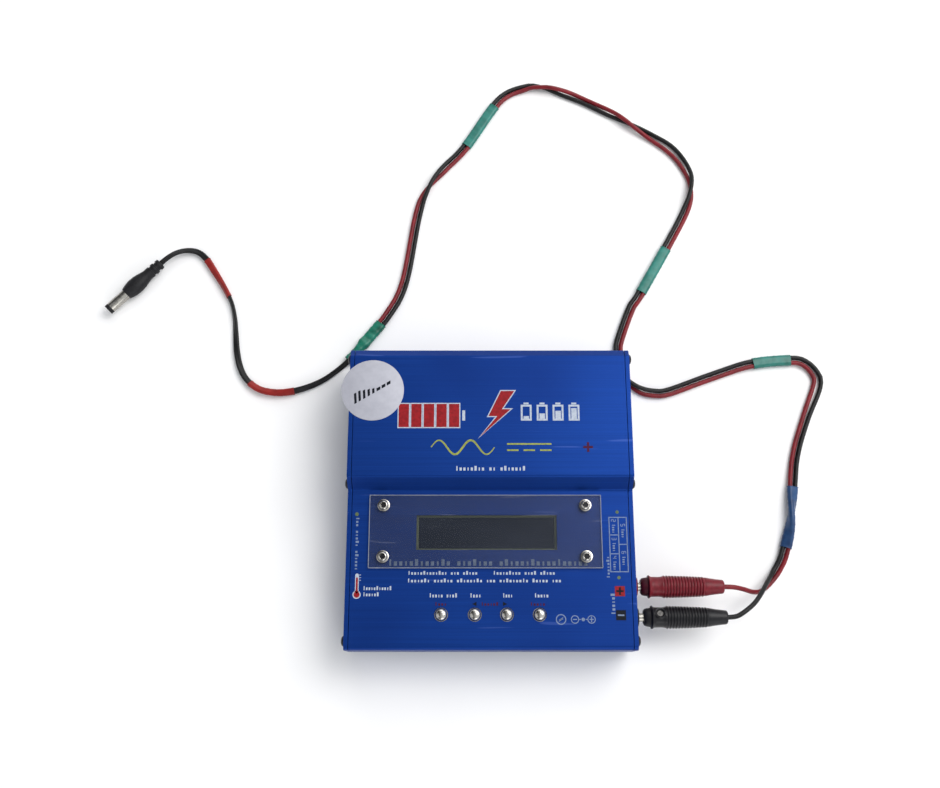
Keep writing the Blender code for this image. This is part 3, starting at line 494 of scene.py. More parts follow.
def smooth_line(points, per_span=12):
    """A Catmull-Rom curve through the points, as a fine list of vectors."""
    knots = [Vector(point) for point in points]
    knots = [2 * knots[0] - knots[1], *knots, 2 * knots[-1] - knots[-2]]
    line = []
    for a, b, c, d in zip(knots, knots[1:], knots[2:], knots[3:]):
        for step in range(per_span):
            t = step / per_span
            bend, twist = 2 * a - 5 * b + 4 * c - d, 3 * b - a - 3 * c + d
            line.append((2 * b + (c - a) * t + bend * t**2 + twist * t**3) / 2)
    line.append(knots[-2])
    return line


class Route:
    """A smooth line that can be read at a distance along it, in millimetres."""

    def __init__(self, points):
        self.line = smooth_line(points)
        self.marks = [0.0]
        for first, second in zip(self.line, self.line[1:]):
            self.marks.append(self.marks[-1] + (second - first).length)
        self.length = self.marks[-1]

    def at(self, distance):
        distance = min(max(distance, 0.0), self.length)
        index = next(i for i, mark in enumerate(self.marks[1:]) if mark >= distance - 1e-9)
        span = self.marks[index + 1] - self.marks[index]
        return self.line[index].lerp(self.line[index + 1], (distance - self.marks[index]) / span)

    def direction(self, distance):
        return (self.at(distance + 1.0) - self.at(distance - 1.0)).normalized()


def ease(value):
    value = min(max(value, 0.0), 1.0)
    return value * value * (3 - 2 * value)


def turn_angle(distance):
    angle = 0.0
    for order, (mark, on_top) in enumerate(HALF_TURNS):
        angle += pi * ease((distance - mark) / HALF_TURN_LENGTH + 0.5) * on_top * (-1) ** order
    return angle


def spread(distance):
    extra = sum(more * exp(-(((distance - mark) / reach) ** 2)) for mark, reach, more in OPEN_STRETCHES)
    return WIRE_SPREAD + extra


PAIR = Route(PAIR_ROUTE)
TWIN_LINE = Route(TWIN_ROUTE)
JUNCTION_SPAN = (PAIR.length - JUNCTION_ON_PAIR, PAIR.length)


def sleeve_lift(distance):
    rise = 0.0
    for first, last in [*PAIR_SLEEVES.values(), JUNCTION_SPAN]:
        rise = max(rise, ease((distance - first + 14) / 10) * ease((last + 14 - distance) / 10))
    return (SLEEVE_WALL + SLEEVE_ROOM) * rise


def pair_centre(distance):
    middle = PAIR.at(distance)
    rise = spread(distance) * abs(sin(turn_angle(distance)))
    return Vector((middle.x, middle.y, WIRE_RADIUS + 0.05 + sleeve_lift(distance) + rise))


def across_pair(along, angle):
    """Unit vector from the pair's middle to the red wire."""
    level = Vector((along.y, -along.x, 0)).normalized()
    return level * cos(angle) + Vector((0, 0, sin(angle)))


def wire_point(distance, side):
    across = across_pair(PAIR.direction(distance), turn_angle(distance))
    return pair_centre(distance) + across * side * spread(distance)


def evenly(first, last, spacing):
    """Distances from first to last, spaced about as given."""
    count = round((last - first) / spacing)
    return [first + (last - first) * step / count for step in range(count + 1)]


def wire(name, lead_in, side, material, slot):
    """One of the pair's wires, from its plug to the joint with the twin cable."""
    second = PAIR.length / round(PAIR.length / 7.4)
    approach = Route([Vector(point) for point in lead_in] + [wire_point(d, side) for d in (0.0, second)])
    points = []
    distance = 0.0
    joint = wire_point(0, side)
    while distance < approach.length and (approach.at(distance) - joint).length > 1.5:
        points.append(approach.at(distance))
        distance += 1.5
    points.insert(0, points[0] - Vector((INTO_GRIP, 0, 0)))
    points += [wire_point(d, side) for d in evenly(0, PAIR.length, 2.4)]
    curve = put(bpy.data.curves.new(name, "CURVE"), dimensions="3D", bevel_depth=WIRE_RADIUS * MM,
                bevel_resolution=4, use_fill_caps=True)
    spline = curve.splines.new("POLY")
    spline.points.add(len(points) - 1)
    for knot, point in zip(spline.points, points):
        knot.co = (*case_point(point), 1)
    spline.use_smooth = True
    made = add(f"{name}_insulation", curve, material, slot, name, body=LEAD)
    length = sum((b - a).length for a, b in zip(points, points[1:]))
    return made, case_point(points[1]), length * MM


def loft(name, sections):
    """A solid skin over closed rings of points."""
    shape = bmesh.new()
    loops = [[shape.verts.new(point) for point in ring] for ring in sections]
    for first, second in zip(loops, loops[1:]):
        bridge(shape, first, second)
    shape.faces.new(loops[0][::-1])
    shape.faces.new(loops[-1])
    return to_mesh(name, shape, 50)


def slot_ring(centre, along, angle, half_length, radius, arc_steps=10):
    """A round-ended ring about the two wires."""
    across = across_pair(along, angle)
    up = along.normalized().cross(across)
    points = []
    for end in (1, -1):
        for step in range(arc_steps + 1):
            turn = pi * step / arc_steps - pi / 2
            offset = across * (half_length + radius * cos(turn)) * end
            points.append(case_point(centre + offset + up * radius * sin(turn) * end))
    return points


def hollow(name, rings, wall):
    """A thin tube over rings given as (centre, along, angle, half length, radius)."""
    shape = bmesh.new()
    skins = []
    for shrink in (0.0, wall):
        skins.append([
            [shape.verts.new(point) for point in slot_ring(centre, along, angle, half, radius - shrink)]
            for centre, along, angle, half, radius in rings
        ])
    for loops in skins:
        for first, second in zip(loops, loops[1:]):
            bridge(shape, first, second)
    bridge(shape, skins[1][0], skins[0][0])
    bridge(shape, skins[0][-1], skins[1][-1])
    return to_mesh(name, shape, 40)


def crinkle(distance, seed):
    """Small uneven shrinkage of heat-shrink along its length, in millimetres."""
    return 0.05 * sin(distance * 1.9 + seed) + 0.04 * sin(distance * 3.7 + 2.1 * seed)


def twin_lean(distance):
    """How far the twin cable has turned about its own middle."""
    return 0.85 * sin(distance / 15.0) + 0.35


def make_junction():
    """The sleeve over the joint of the pair and the twin cable."""
    rings = []
    for step in range(16):
        d = JUNCTION_SPAN[0] + 11.0 * step / 15
        radius = WIRE_RADIUS + 0.5 + crinkle(d, 2) * 1.6 + (0.12 if step == 0 else 0)
        rings.append((pair_centre(d), PAIR.direction(d).to_3d(), turn_angle(d), spread(d), radius))
    for step in range(1, 18):
        d = JUNCTION_ON_TWIN * step / 17
        half = 1.3 - 0.9 * ease(d / 6.0) + 0.3 * ease((d - 9.0) / 4.0)
        radius = TWIN_RADIUS + 0.42 + crinkle(d, 4) * 1.6 + (0.1 if step == 17 else 0)
        rings.append((TWIN_LINE.at(d), TWIN_LINE.direction(d), turn_angle(PAIR.length), half, radius))
    mesh = hollow("junction", rings, SLEEVE_WALL)
    return add("junction_sleeve_tube", mesh, DEEP_GREEN, "dark_green_sleeving", "junction_sleeve", body=LEAD)


def make_lead():
    red, red_exit, red_length = wire("red_wire", RED_LEAD_IN, 1, RED_WIRE, "red_silicone")
    black, black_exit, black_length = wire("black_wire", BLACK_LEAD_IN, -1, BLACK_WIRE, "black_silicone")

    snug = WIRE_RADIUS + 0.42
    for order, (name, (first, last)) in enumerate(PAIR_SLEEVES.items()):
        rings = []
        for d in evenly(first, last, 0.8):
            radius = snug + crinkle(d, order) + (0.1 if d in (first, last) else 0.0)
            rings.append((pair_centre(d), PAIR.direction(d).to_3d(), turn_angle(d), spread(d) - 0.05, radius))
        material, slot = (NAVY, "blue_sleeving") if name == "blue_sleeve" else (TEAL, "green_sleeving")
        add(f"{name}_tube", hollow(name, rings, SLEEVE_WALL), material, slot, name, body=LEAD)
    junction = make_junction()

    # The twin cable: two cores side by side under one skin, turning slowly, with its end in the barrel plug.
    places = [(TWIN_LINE.at(d), TWIN_LINE.direction(d), twin_lean(d))
              for d in evenly(0, TWIN_LINE.length, 1.5)]
    places.append((Vector(BARREL_TAIL) + BARREL_OUT * INTO_BARREL, BARREL_OUT, twin_lean(TWIN_LINE.length)))
    mesh = loft("twin", [figure_eight(*place) for place in places])
    twin = add("twin_cable_insulation", mesh, BLACK_WIRE, "black_silicone", "twin_cable", body=LEAD)
    bands = [add(name, hollow(name, twin_band(*span), 0.25), SCARLET, "red_plastic", body=LEAD)
             for name, span in TWIN_BANDS.items()]

    grip, shell, tip = make_barrel_plug()
    plugs = make_output_plugs()


def figure_eight(centre, along, lean, cores=0.78, radius=0.86, steps=9):
    """The twin cable's outline: two round cores that meet in a waist."""
    across = Vector((along.y, -along.x, 0)).normalized()
    up = across.cross(along).normalized()
    up = up if up.z > 0 else -up
    wide = across * cos(lean) + up * sin(lean)
    tall = up * cos(lean) - across * sin(lean)
    ring = []
    for end in (1, -1):
        for step in range(steps + 1):
            turn = radians(-118 + 236 * step / steps)
            offset = wide * (cores + radius * cos(turn)) * end + tall * radius * sin(turn) * end
            ring.append(case_point(centre + offset))
    return ring


def twin_band(first, last, seed):
    """Rings of a short sleeve on the twin cable."""
    rings = []
    for d in evenly(first, last, 0.9):
        radius = 1.14 + crinkle(d, seed) * 0.6 + (0.08 if d in (first, last) else 0.0)
        rings.append((TWIN_LINE.at(d), TWIN_LINE.direction(d), twin_lean(d), 0.72, radius))
    return rings


# ---------------------------------------------------------------- plugs

# Each plug's place along Y, its nose along X, its material and the angle of its set screw.
PLUGS = {"red": (-41.3, 71.2, RED_PLASTIC, 205.0), "black": (-55.5, 72.0, BLACK_GLOSS, 22.0)}
PLUG_LENGTH = 39.5
JACK_Z = 16.0
RIB = ((0.5, 0.0), (0.06, 0.14), (0.0, 0.4), (0.07, 0.74), (0.5, 0.9))


def plug_profile():
    """The grip's outline from its nose: collar, flange, waist, ribs that taper, and tail."""
    nose = [
        (0, 0.6), (2.2, 0.6), (2.2, 0), (3.3, 0), (3.9, 0.5), (4.25, 1.6), (4.4, 2.9), (4.5, 3.3),
        (5.35, 3.55), (5.45, 3.9), (5.3, 4.15), (4.75, 4.9), (4.68, 6.0), (4.62, 8.4), (4.75, 9.8),
        (5.0, 10.5),
    ]
    ribs = []
    count = 14
    for rib in range(count):
        start = 10.7 + rib * 1.4
        top = 5.28 - 0.62 * (rib / (count - 1)) ** 1.6
        ribs += [(top - less, start + along) for less, along in RIB]
    tail = [
        (4.35, 30.5), (4.3, 31.0), (3.95, 33.0), (3.55, 36.0), (3.28, 38.6), (3.1, 39.2),
        (2.7, PLUG_LENGTH), (1.35, PLUG_LENGTH), (1.2, PLUG_LENGTH - 0.6), (0, PLUG_LENGTH - 0.6),
    ]
    return nose + ribs + tail


def plastic(colour):
    return "red_plastic" if colour == "red" else "black_plastic"


def make_output_plugs():
    pieces = {}
    for colour, (y, nose, material, boss_angle) in PLUGS.items():
        at = (nose, y, JACK_Z)
        body = lathe("grip", plug_profile(), at, (1, 0, 0), 64)
        angle = radians(boss_angle)
        out = Vector((0, sin(angle), cos(angle)))
        centre = (nose + 7.4, y, JACK_Z)
        boss = lathe("boss", [(0, 3.0), (2.7, 3.0), (2.7, 4.6), (2.45, 4.85), (0, 4.85)], centre, out, 40)
        well = lathe("well", [(0, 3.9), (1.75, 3.9), (1.75, 6.0), (0, 6.0)], centre, out, 32)
        body = carve(carve(body, boss, operation="UNION"), well)
        grip = add(f"{colour}_plug_body", body, material, plastic(colour), f"{colour}_plug_grip", body=LEAD)
        # Painted shade: the red plug's collar takes a darker red, and the black plug's collar takes the
        # rougher black moulding.
        body.materials.append(DARK_RED if colour == "red" else BLACK_PLASTIC)
        for face in body.polygons:
            if face.center.x < (nose + CASE_X + 3.5) * MM:
                face.material_index = 1
        screw = lathe("screw", [(0, 3.2), (1.6, 3.2), (1.6, 4.2), (1.4, 4.35), (0, 4.35)], centre, out, 32)
        cut = rounded_box((3.6, 0.42, 1.0), (-CASE_X, 0, 0), 0.05, 1)
        lift = Matrix.Translation(Vector((0, 0, 4.6)) * MM)
        cut.transform(frame_at(centre, out) @ lift @ Matrix.Rotation(radians(40), 4, "Z"))
        screw = add(f"{colour}_plug_set_screw", carve(screw, cut), DULL_STEEL, "bright_steel", body=LEAD)
        pin = [(0, -15.3), (1.1, -15.3), (1.7, -14.6), (1.95, -13.6), (1.95, -2.2), (1.95, 0.3), (0, 0.3)]
        metal = add(f"{colour}_plug_contact", lathe("pin", pin, at, (1, 0, 0)), NICKEL, "bright_steel",
                    f"{colour}_plug_pin", body=LEAD)
        pieces[colour] = [grip, screw, metal]
    return pieces


def make_barrel_plug():
    tail, out = Vector(BARREL_TAIL), BARREL_OUT
    # The grip is a moulding that is flatter than it is wide, so it is lofted from ellipses.
    widths = (
        (0.0, 2.0), (0.25, 2.75), (1.9, 2.85), (2.2, 2.35), (3.2, 2.35), (3.5, 2.95), (5.1, 3.0),
        (5.4, 2.5), (6.3, 2.5), (6.6, 3.0), (8.2, 2.95), (9.6, 3.0), (11.5, 3.45), (13.6, 4.0),
        (15.8, 4.35), (18.2, 4.4), (20.4, 4.2), (22.2, 3.75), (23.5, 3.3), (24.2, 3.0), (24.3, 2.7),
    )
    side = Vector((-out.y, out.x, 0))
    sections = []
    for distance, half in widths:
        flat = 1.0 - 0.16 * ease((distance - 8.0) / 5.0) * ease((24.0 - distance) / 3.0)
        centre = tail + out * distance
        sections.append([
            case_point(centre + side * u + Vector((0, 0, 1)) * flat * v) for u, v in circle(0, 0, half)
        ])
    grip = add("barrel_plug_body", loft("grip", sections), BLACK_PLASTIC, "black_plastic", "barrel_plug_grip",
               body=LEAD)
    shell = [(0, 24.0), (2.75, 24.0), (2.75, 34.5), (2.68, 34.7), (2.5, 34.8), (0, 34.8)]
    barrel = add("barrel_plug_sleeve", lathe("shell", shell, tail, out), NICKEL, "bright_steel",
                 "barrel_plug_shell", body=LEAD)
    ring = [
        (0, 34.6), (2.6, 34.6), (2.7, 34.8), (2.7, 36.3), (2.55, 36.58), (1.5, 36.6), (1.3, 36.4),
        (1.3, 35.2), (0, 35.2),
    ]
    insulator = add("barrel_plug_insulator", lathe("ring", ring, tail, out, 40), BLACK_PLASTIC,
                    "black_plastic", body=LEAD)
    return grip, barrel, insulator


# ---------------------------------------------------------------- case

PLATE_FACE_X, PLATE_THICKNESS, COVER_HALF = 67.5, 2.0, 65.2
UPPER, LOWER = 36.0, 28.4  # the levels of the rear part's top and of the deck
BUTTONS = {"stop": -22.9, "decrease": -7.4, "increase": 7.4, "start": 22.5}
BUTTON_Y = -55.0
DISPLAY_SCREWS = {"rear_left": (-50.2, -4.7), "rear_right": (44.6, -4.7), "front_left": (-50.2, -28.7),
                  "front_right": (44.6, -28.7)}
SIDE_SCREWS = {"front": (-66.7, 24.1), "middle": (6.2, 27.5), "rear": (66.7, 31.7)}
FEET = {"front_left": (-51.5, -55.0), "front_right": (51.5, -55.0), "rear_left": (-51.5, 55.0),
        "rear_right": (51.5, 55.0)}
WINDOW, WINDOW_SIZE = (-1.8, -17.2), (66.0, 16.4)
PIN_PITCH = 2.5
SOCKETS = {"2s": (3, -2.6, 19.4), "3s": (4, -14.2, 19.4), "4s": (5, -28.3, 19.4), "5s": (6, -6.5, 13.0),
           "6s": (7, -25.8, 13.0)}
FAN, FAN_OPENING, FAN_SLOT_PITCH = (40.0, 20.2), 11.0, 3.3
# Corners along Y and Z, each with its bend's radius.
SHELL_TOP = ((-71.0, 16.0, 0), (-71.0, LOWER, 2.2), (2.9, LOWER, 1.4), (8.2, UPPER, 1.6), (67.4, UPPER, 0.9),
             (71.0, 33.3, 0.9), (71.0, 16.0, 0))
SHELL_BOTTOM = ((71.0, 15.7, 0), (71.0, 4.5, 2.0), (-71.0, 4.5, 2.0), (-71.0, 15.7, 0))
# Pieces that keep their CAD shapes.
CAD_SHAPES = (
    (BLACK_PLASTIC, "black_plastic", ("mains_inlet", "dc_input_jack", "fan_frame", "fan_rotor")),
    (BLACK_PLASTIC, "black_plastic", [f"switch_{name}" for name in BUTTONS]),
    (BOARD, "circuit_board", ("lcd_board", "charger_board", "supply_board")),
    (WINDING, "copper_core", ("transformer",)),
)


def folded(path, thickness=1.6):
    """A bent sheet drawn out along X and thickened inwards."""
    points = softened(path)
    inner = []
    for index, here in enumerate(points):
        before = points[max(index - 1, 0)]
        after = points[min(index + 1, len(points) - 1)]
        along = (after - before).normalized()
        one = (here - before).normalized() if index else along
        two = (after - here).normalized() if index < len(points) - 1 else along
        stretch = 1 / max(cos(one.angle(two) / 2), 0.5)
        inner.append(here + Vector((along.y, -along.x)) * thickness * stretch)
    return prism([[tuple(point) for point in points + inner[::-1]]], "X", -COVER_HALF, COVER_HALF)


def pill(u, v, width, height, steps=8):
    """A round-ended upright slot."""
    radius, shift = width / 2, (height - width) / 2
    points = []
    for end in (1, -1):
        for step in range(steps + 1):
            turn = pi * step / steps
            points.append((u + radius * cos(turn) * end, v + (shift + radius * sin(turn)) * end))
    return points


def plate_holes(side, through):
    """Openings in an end plate, as prisms along X."""
    if side == "right":
        outlines = [oblong(y, z, PIN_PITCH * (pins - 1) + 5.0, 6.35) for pins, y, z in SOCKETS.values()]
        outlines += [circle(y, JACK_Z, 4.1) for y, *_ in PLUGS.values()]
        for slot in range(-3, 4):
            shift = slot * FAN_SLOT_PITCH
            outlines.append(pill(FAN[0] + shift, FAN[1], 1.9, 2 * sqrt(FAN_OPENING**2 - shift**2)))
    else:
        outlines = [oblong(44.0, 20.0, 20.6, 13.6), circle(-20.0, 16.0, 4.3), oblong(-42.0, 16.0, 10.0, 6.35)]
        outlines += [pill(12.0 + slot * 3.6, 19.0, 1.8, 15.0) for slot in range(6)]
    return [prism([outline], "X", *through) for outline in outlines]


def pan_screw(at, sign):
    """A side screw with a cross cut in its round head."""
    head = [
        (0, 1.34), (1.3, 1.28), (2.0, 1.0), (2.45, 0.5), (2.6, 0.05), (2.5, -0.05), (1.3, -0.1),
        (1.3, -8.0), (0, -8.6),
    ]
    bars = []
    for turn in (0, 90):
        bar = rounded_box((0.7, 2.6, 2.4), (-CASE_X, 0, 0), 0.08, 1)
        spin = Matrix.Rotation(radians(turn + 25), 4, "X")
        place = Matrix.Translation(case_point((at[0] + sign * 1.1, *at[1:])))
        bar.transform(place @ spin @ Matrix.Scale(0.35, 4, (0, 1, 0)))
        bars.append(bar)
    return carve(lathe("screw", head, at, (sign, 0, 0), 32), *bars)


def make_case():
    cutters = [upright(x, BUTTON_Y, 3.2, 20, 40) for x in BUTTONS.values()]
    cutters += [upright(x, y, 1.6, 20, 40, 24) for x, y in DISPLAY_SCREWS.values()]
    cutters.append(prism([oblong(*WINDOW, *WINDOW_SIZE)], "Z", 20, 40))
    add("top_shell", carve(folded(SHELL_TOP), *cutters, bevel=0.18), BLUE, "case", "top_cover")
    add("bottom_shell", carve(folded(SHELL_BOTTOM), bevel=0.18), BLUE, "case", "bottom_cover")

    outline = [tuple(point) for point in softened([(-71.0, 4.5, 2.0), *SHELL_TOP[1:-1], (71.0, 4.5, 2.0)])]
    for side, sign in (("right", 1), ("left", -1)):
        low, high = sorted((sign * (PLATE_FACE_X - PLATE_THICKNESS), sign * PLATE_FACE_X))
        plate = carve(prism([outline], "X", low, high), *plate_holes(side, (low - 2, high + 2)), bevel=0.22)
        add(f"{side}_plate", plate, BLUE, "case", f"{side}_end_plate")
        for where, (y, z) in SIDE_SCREWS.items():
            screw = pan_screw((sign * (PLATE_FACE_X + 0.12), y, z), sign)
            add(f"{side}_{where}_pan_screw", screw, BLACK_STEEL, "black_screw", f"{side}_{where}_screw")
    foot = [
        (0, 4.45), (5.0, 4.45), (5.0, 1.2), (4.75, 0.35), (4.2, 0), (2.4, 0), (2.1, 0.5), (2.1, 1.8),
        (0, 1.8),
    ]
    rivet = [(0, 1.7), (1.7, 1.7), (1.6, 1.1), (0.9, 0.8), (0, 0.75)]
    for where, place in FEET.items():
        at = (*place, 0)
        add(f"rubber_foot_{where}", lathe("foot", foot, at), RUBBER, "rubber_foot", f"foot_{where}")
        add(f"foot_screw_{where}", lathe("rivet", rivet, at, segments=32), NICKEL, "bright_steel")


def make_display():
    bottom, thickness = LOWER + 0.3, 1.5
    middle, top = bottom + thickness / 2, bottom + thickness
    plate = rounded_box((109.2, 34.4, thickness), (-2.4, -16.8, middle), 0.28, 2)
    holes = [upright(x, y, 1.5, middle - 2, middle + 2, 32) for x, y in DISPLAY_SCREWS.values()]
    plate = carve(plate, *holes)
    add("display_window", plate, CLEAR, "clear_plate", "display_cover")
    # Painted highlight: every face that is not flat on top or bottom, that is the plate's sides, takes the
    # lighter edge material.
    plate.materials.append(CLEAR_EDGE_HIGHLIGHT)
    for face in plate.polygons:
        if abs(face.normal.z) < 0.98:
            face.material_index = 1
    washer = [(0, 0.02), (2.85, 0.02), (2.9, 0.12), (2.85, 0.42), (2.6, 0.5), (0, 0.5)]
    head = [(0, 0.4), (2.2, 0.4), (2.28, 0.7), (2.2, 1.15), (1.9, 1.6), (1.45, 1.88), (0, 1.95)]
    shank = [(0, 0.1), (1.3, 0.1), (1.3, -6.3), (0, -6.8)]
    for where, (x, y) in DISPLAY_SCREWS.items():
        at = (x, y, top)
        capped = carve(lathe("head", head, at), upright(x, y, 1.5, 31.0, 33.0, 6), bevel=0.05)
        bolt = joined(lathe("washer", washer, at), capped, lathe("shank", shank, at, segments=24))
        add(f"display_bolt_{where}", bolt, STEEL, "bright_steel", f"display_screw_{where}")
        # Painted shade: a dark disc laid on the floor of the six-sided socket.
        add(f"display_bolt_socket_painted_shade_{where}", upright(x, y, 1.42, 31.02, 31.06, 6), BLACK_STEEL, "black_screw")
    outer, inner = oblong(*WINDOW, 72.0, 24.0), oblong(*WINDOW, 63.9, 14.7)
    rim = carve(prism([outer], "Z", 22.6, 26.5), prism([inner], "Z", 20, 30), bevel=0.2)
    add("display_rim", rim, OLIVE, "display_frame", "lcd_bezel")
    screen = rounded_box((63.6, 14.4, 3.0), (*WINDOW, 24.5), 0.1, 1)
    add("display_screen", screen, SCREEN, "display_glass", "lcd_glass")


def make_buttons():
    cap = [(0, 30.62), (0.9, 30.58), (1.6, 30.42), (2.15, 30.12), (2.55, 29.66), (2.78, 29.1), (2.85, 28.4),
           (2.85, 26.5), (3.9, 26.5), (3.9, 25.3), (1.6, 25.3), (1.6, 17.2), (0, 17.2)]
    for name, x in BUTTONS.items():
        mesh = lathe("cap", cap, (x, BUTTON_Y, 0))
        add(f"{name}_button_cap", mesh, STEEL, "bright_steel", f"button_{name}", body=f"{name}_button")


def make_socket(name, pins, y, z, side):
    """A white pin header, open outwards, on the right (1) or left (-1) end."""

    def block(shift, rise, wide, tall, near, far):
        return prism([oblong(y + shift, z + rise, wide, tall)], "X", *sorted((side * near, side * far)))

    width = PIN_PITCH * (pins - 1) + 4.4
    room = block(0, 0, width - 1.5, 4.35, 60.7, 70.0)
    keys = [block(shift, 2.6, 1.0, 1.4, 62.5, 70.0) for shift in (-width / 4, width / 4)]
    housing = carve(block(0, 0, width, 5.75, PLATE_FACE_X, 59.1), room, *keys, bevel=0.12)
    add(f"{name}_housing", housing, NYLON, "white_nylon", name)
    posts = [block(PIN_PITCH * (pin - (pins - 1) / 2), 0, 0.64, 0.64, 60.0, 65.6) for pin in range(pins)]
    add(f"{name}_pins", carve(joined(*posts), bevel=0.1), BRASS, "bright_steel")


def make_ends():
    for cells, (pins, y, z) in SOCKETS.items():
        make_socket(f"balance_socket_{cells}", pins, y, z, 1)
    make_socket("temperature_sensor_socket", 3, -42.0, 16.0, -1)
    start, end = 51.4, 18.1
    jack = [
        (0, 1.6), (2.15, 1.6), (2.15, end - 0.2), (2.35, end), (4.2, end), (4.8, end - 0.4),
        (5.0, end - 0.9), (5.0, end - 1.65), (3.75, end - 1.65), (3.75, 0), (0, 0),
    ]
    liner = [(2.02, 2.0), (2.14, 2.0), (2.14, end - 0.3), (2.3, end + 0.02), (2.02, end + 0.02), (2.02, 2.0)]
    for colour, (y, _, material, _) in PLUGS.items():
        at = (start, y, JACK_Z)
        add(f"{colour}_jack_body", lathe("jack", jack, at, (1, 0, 0)), material, plastic(colour),
            f"output_jack_{colour}")
        add(f"{colour}_jack_contact", lathe("liner", liner, at, (1, 0, 0)), NICKEL, "bright_steel")
    for material, slot, names in CAD_SHAPES:
        for name in names:
            kept = NODES[name]
            kept.data.materials.clear()
            kept.data.materials.append(material)


# ---------------------------------------------------------------- printing


def marks(name, outlines, material, level, layer=0):
    """Flat printing on the case: thin prisms, each layer a little above the one below."""
    low = level + 0.005 + 0.03 * layer
    return add(name, prism(outlines, "Z", low, low + 0.03), material)


def greeked(x0, x1, y, height, words):
    """Rows of small blocks that read as a printed line from afar and spell nothing."""
    pitch = (x1 - x0) / (sum(words) + len(words) - 1)
    blocks, at = [], 0
    for order, count in enumerate(words):
        for letter in range(count):
            tall = height if (letter * 3 + order) % 5 == 0 else height * 0.66
            wide = pitch * (0.34 if (letter * 2 + order) % 3 == 0 else 0.6)
            blocks.append(oblong(x0 + (at + letter + 0.5) * pitch, y - (height - tall) / 2, wide, tall))
        at += count + 1
    return blocks

def rows(y, height, *spans):
    """Greeked words at one level, given as (from, to, letters in each word)."""
    return [block for x0, x1, words in spans for block in greeked(x0, x1, y, height, words)]


def plus(x, y, width, line, arm):
    """A plus sign from three bars."""
    return [oblong(x, y, width, line), *(oblong(x, y + s * (line + arm) / 2, line, arm) for s in (1, -1))]


SEGMENTS = {2: "abged", 3: "abgcd", 4: "fgbc", 5: "afgcd", 6: "afgedc"}


def digit(number, x, y, height):
    """A plain number built from straight bars."""
    line, half, low = 0.15 * height, 0.26 * height, 0.25 * height
    bars = {name: (0, 2 * low * level, 2 * half, line) for name, level in (("a", 1), ("g", 0), ("d", -1))}
    for name, across, up in (("f", -1, 1), ("b", 1, 1), ("e", -1, -1), ("c", 1, -1)):
        bars[name] = (across * half, up * low, line, 2 * low - line)
    return [oblong(x + bars[bar][0], y + bars[bar][1], *bars[bar][2:]) for bar in SEGMENTS[number]]


def hoop(x, y, outer, inner, sides=32):
    """A flat ring, as quads side by side."""
    edge, hole = circle(x, y, outer, sides), circle(x, y, inner, sides)
    return [[edge[i], edge[(i + 1) % sides], hole[(i + 1) % sides], hole[i]] for i in range(sides)]


def upended(outlines, x, y, clockwise=True):
    """Outlines drawn about (0, 0), turned to run down or up the case at a place."""
    sign = -1 if clockwise else 1
    return [[(x - sign * v, y + sign * u) for u, v in outline] for outline in outlines]


def stroke(points, width):
    """A brush line as one outline that thickens towards its middle."""
    line = [Vector(point) for point in smooth_line([Vector((*p, 0)) for p in points], 6)]
    left, right = [], []
    for index, here in enumerate(line):
        along = (line[min(index + 1, len(line) - 1)] - line[max(index - 1, 0)]).normalized()
        share = index / (len(line) - 1)
        half = width * (0.3 + 0.7 * sin(pi * (0.08 + 0.84 * share))) / 2
        side = Vector((-along.y, along.x)) * half
        left.append((here.x + side.x, here.y + side.y))
        right.append((here.x - side.x, here.y - side.y))
    return left + right[::-1]


def ring_outline(x, y, width, height, line):
    """Four bars that make a rectangle's outline."""
    return [
        oblong(x, y + height / 2 - line / 2, width, line),
        oblong(x, y - height / 2 + line / 2, width, line),
        oblong(x - width / 2 + line / 2, y, line, height - 2 * line),
        oblong(x + width / 2 - line / 2, y, line, height - 2 * line),
    ]


def grown(outline, by):
    """An outline, listed anticlockwise, moved outwards on every side."""
    points = [Vector(point) for point in outline]
    made = []
    for index, here in enumerate(points):
        before = (here - points[index - 1]).normalized()
        after = (points[(index + 1) % len(points)] - here).normalized()
        push = Vector((before.y + after.y, -before.x - after.x))
        made.append(tuple(here + push.normalized() * by / max(push.length / 2, 0.4)))
    return made


STICKER = (-56.3, 50.0)
STICKER_BARS = (
    (-9.2, 4.6), (-6.9, 4.6), (-4.6, 3.8), (-2.3, 3.0), (0.0, 2.2), (2.6, 1.4), (5.4, 1.4), (8.2, 1.4),
)


def make_label():
    """A round sticker with a slanting row of falling bars."""
    disc = [(0, 36.28), (14.9, 36.28), (15.0, 36.22), (15.0, 36.04), (0, 36.02)]
    sticker = lathe("sticker", disc, (*STICKER, 0), segments=128)
    add("round_sticker", sticker, PAPER, "label", "round_label")
    bars = []
    turn = radians(31)
    for along, height in STICKER_BARS:
        across, length = height / 2 - 2.0, (1.3 if height > 1.5 else 2.1)
        lean = 0.5 * height
        corners = [(u + lean * (v - across) / height, v) for u, v in oblong(along, across, length, height)]
        bars.append([(STICKER[0] - 0.1 + u * cos(turn) - v * sin(turn),
                      STICKER[1] + 0.4 + u * sin(turn) + v * cos(turn)) for u, v in corners])
    add("sticker_marks", prism(bars, "Z", 36.285, 36.31), INK_BLACK, "label")


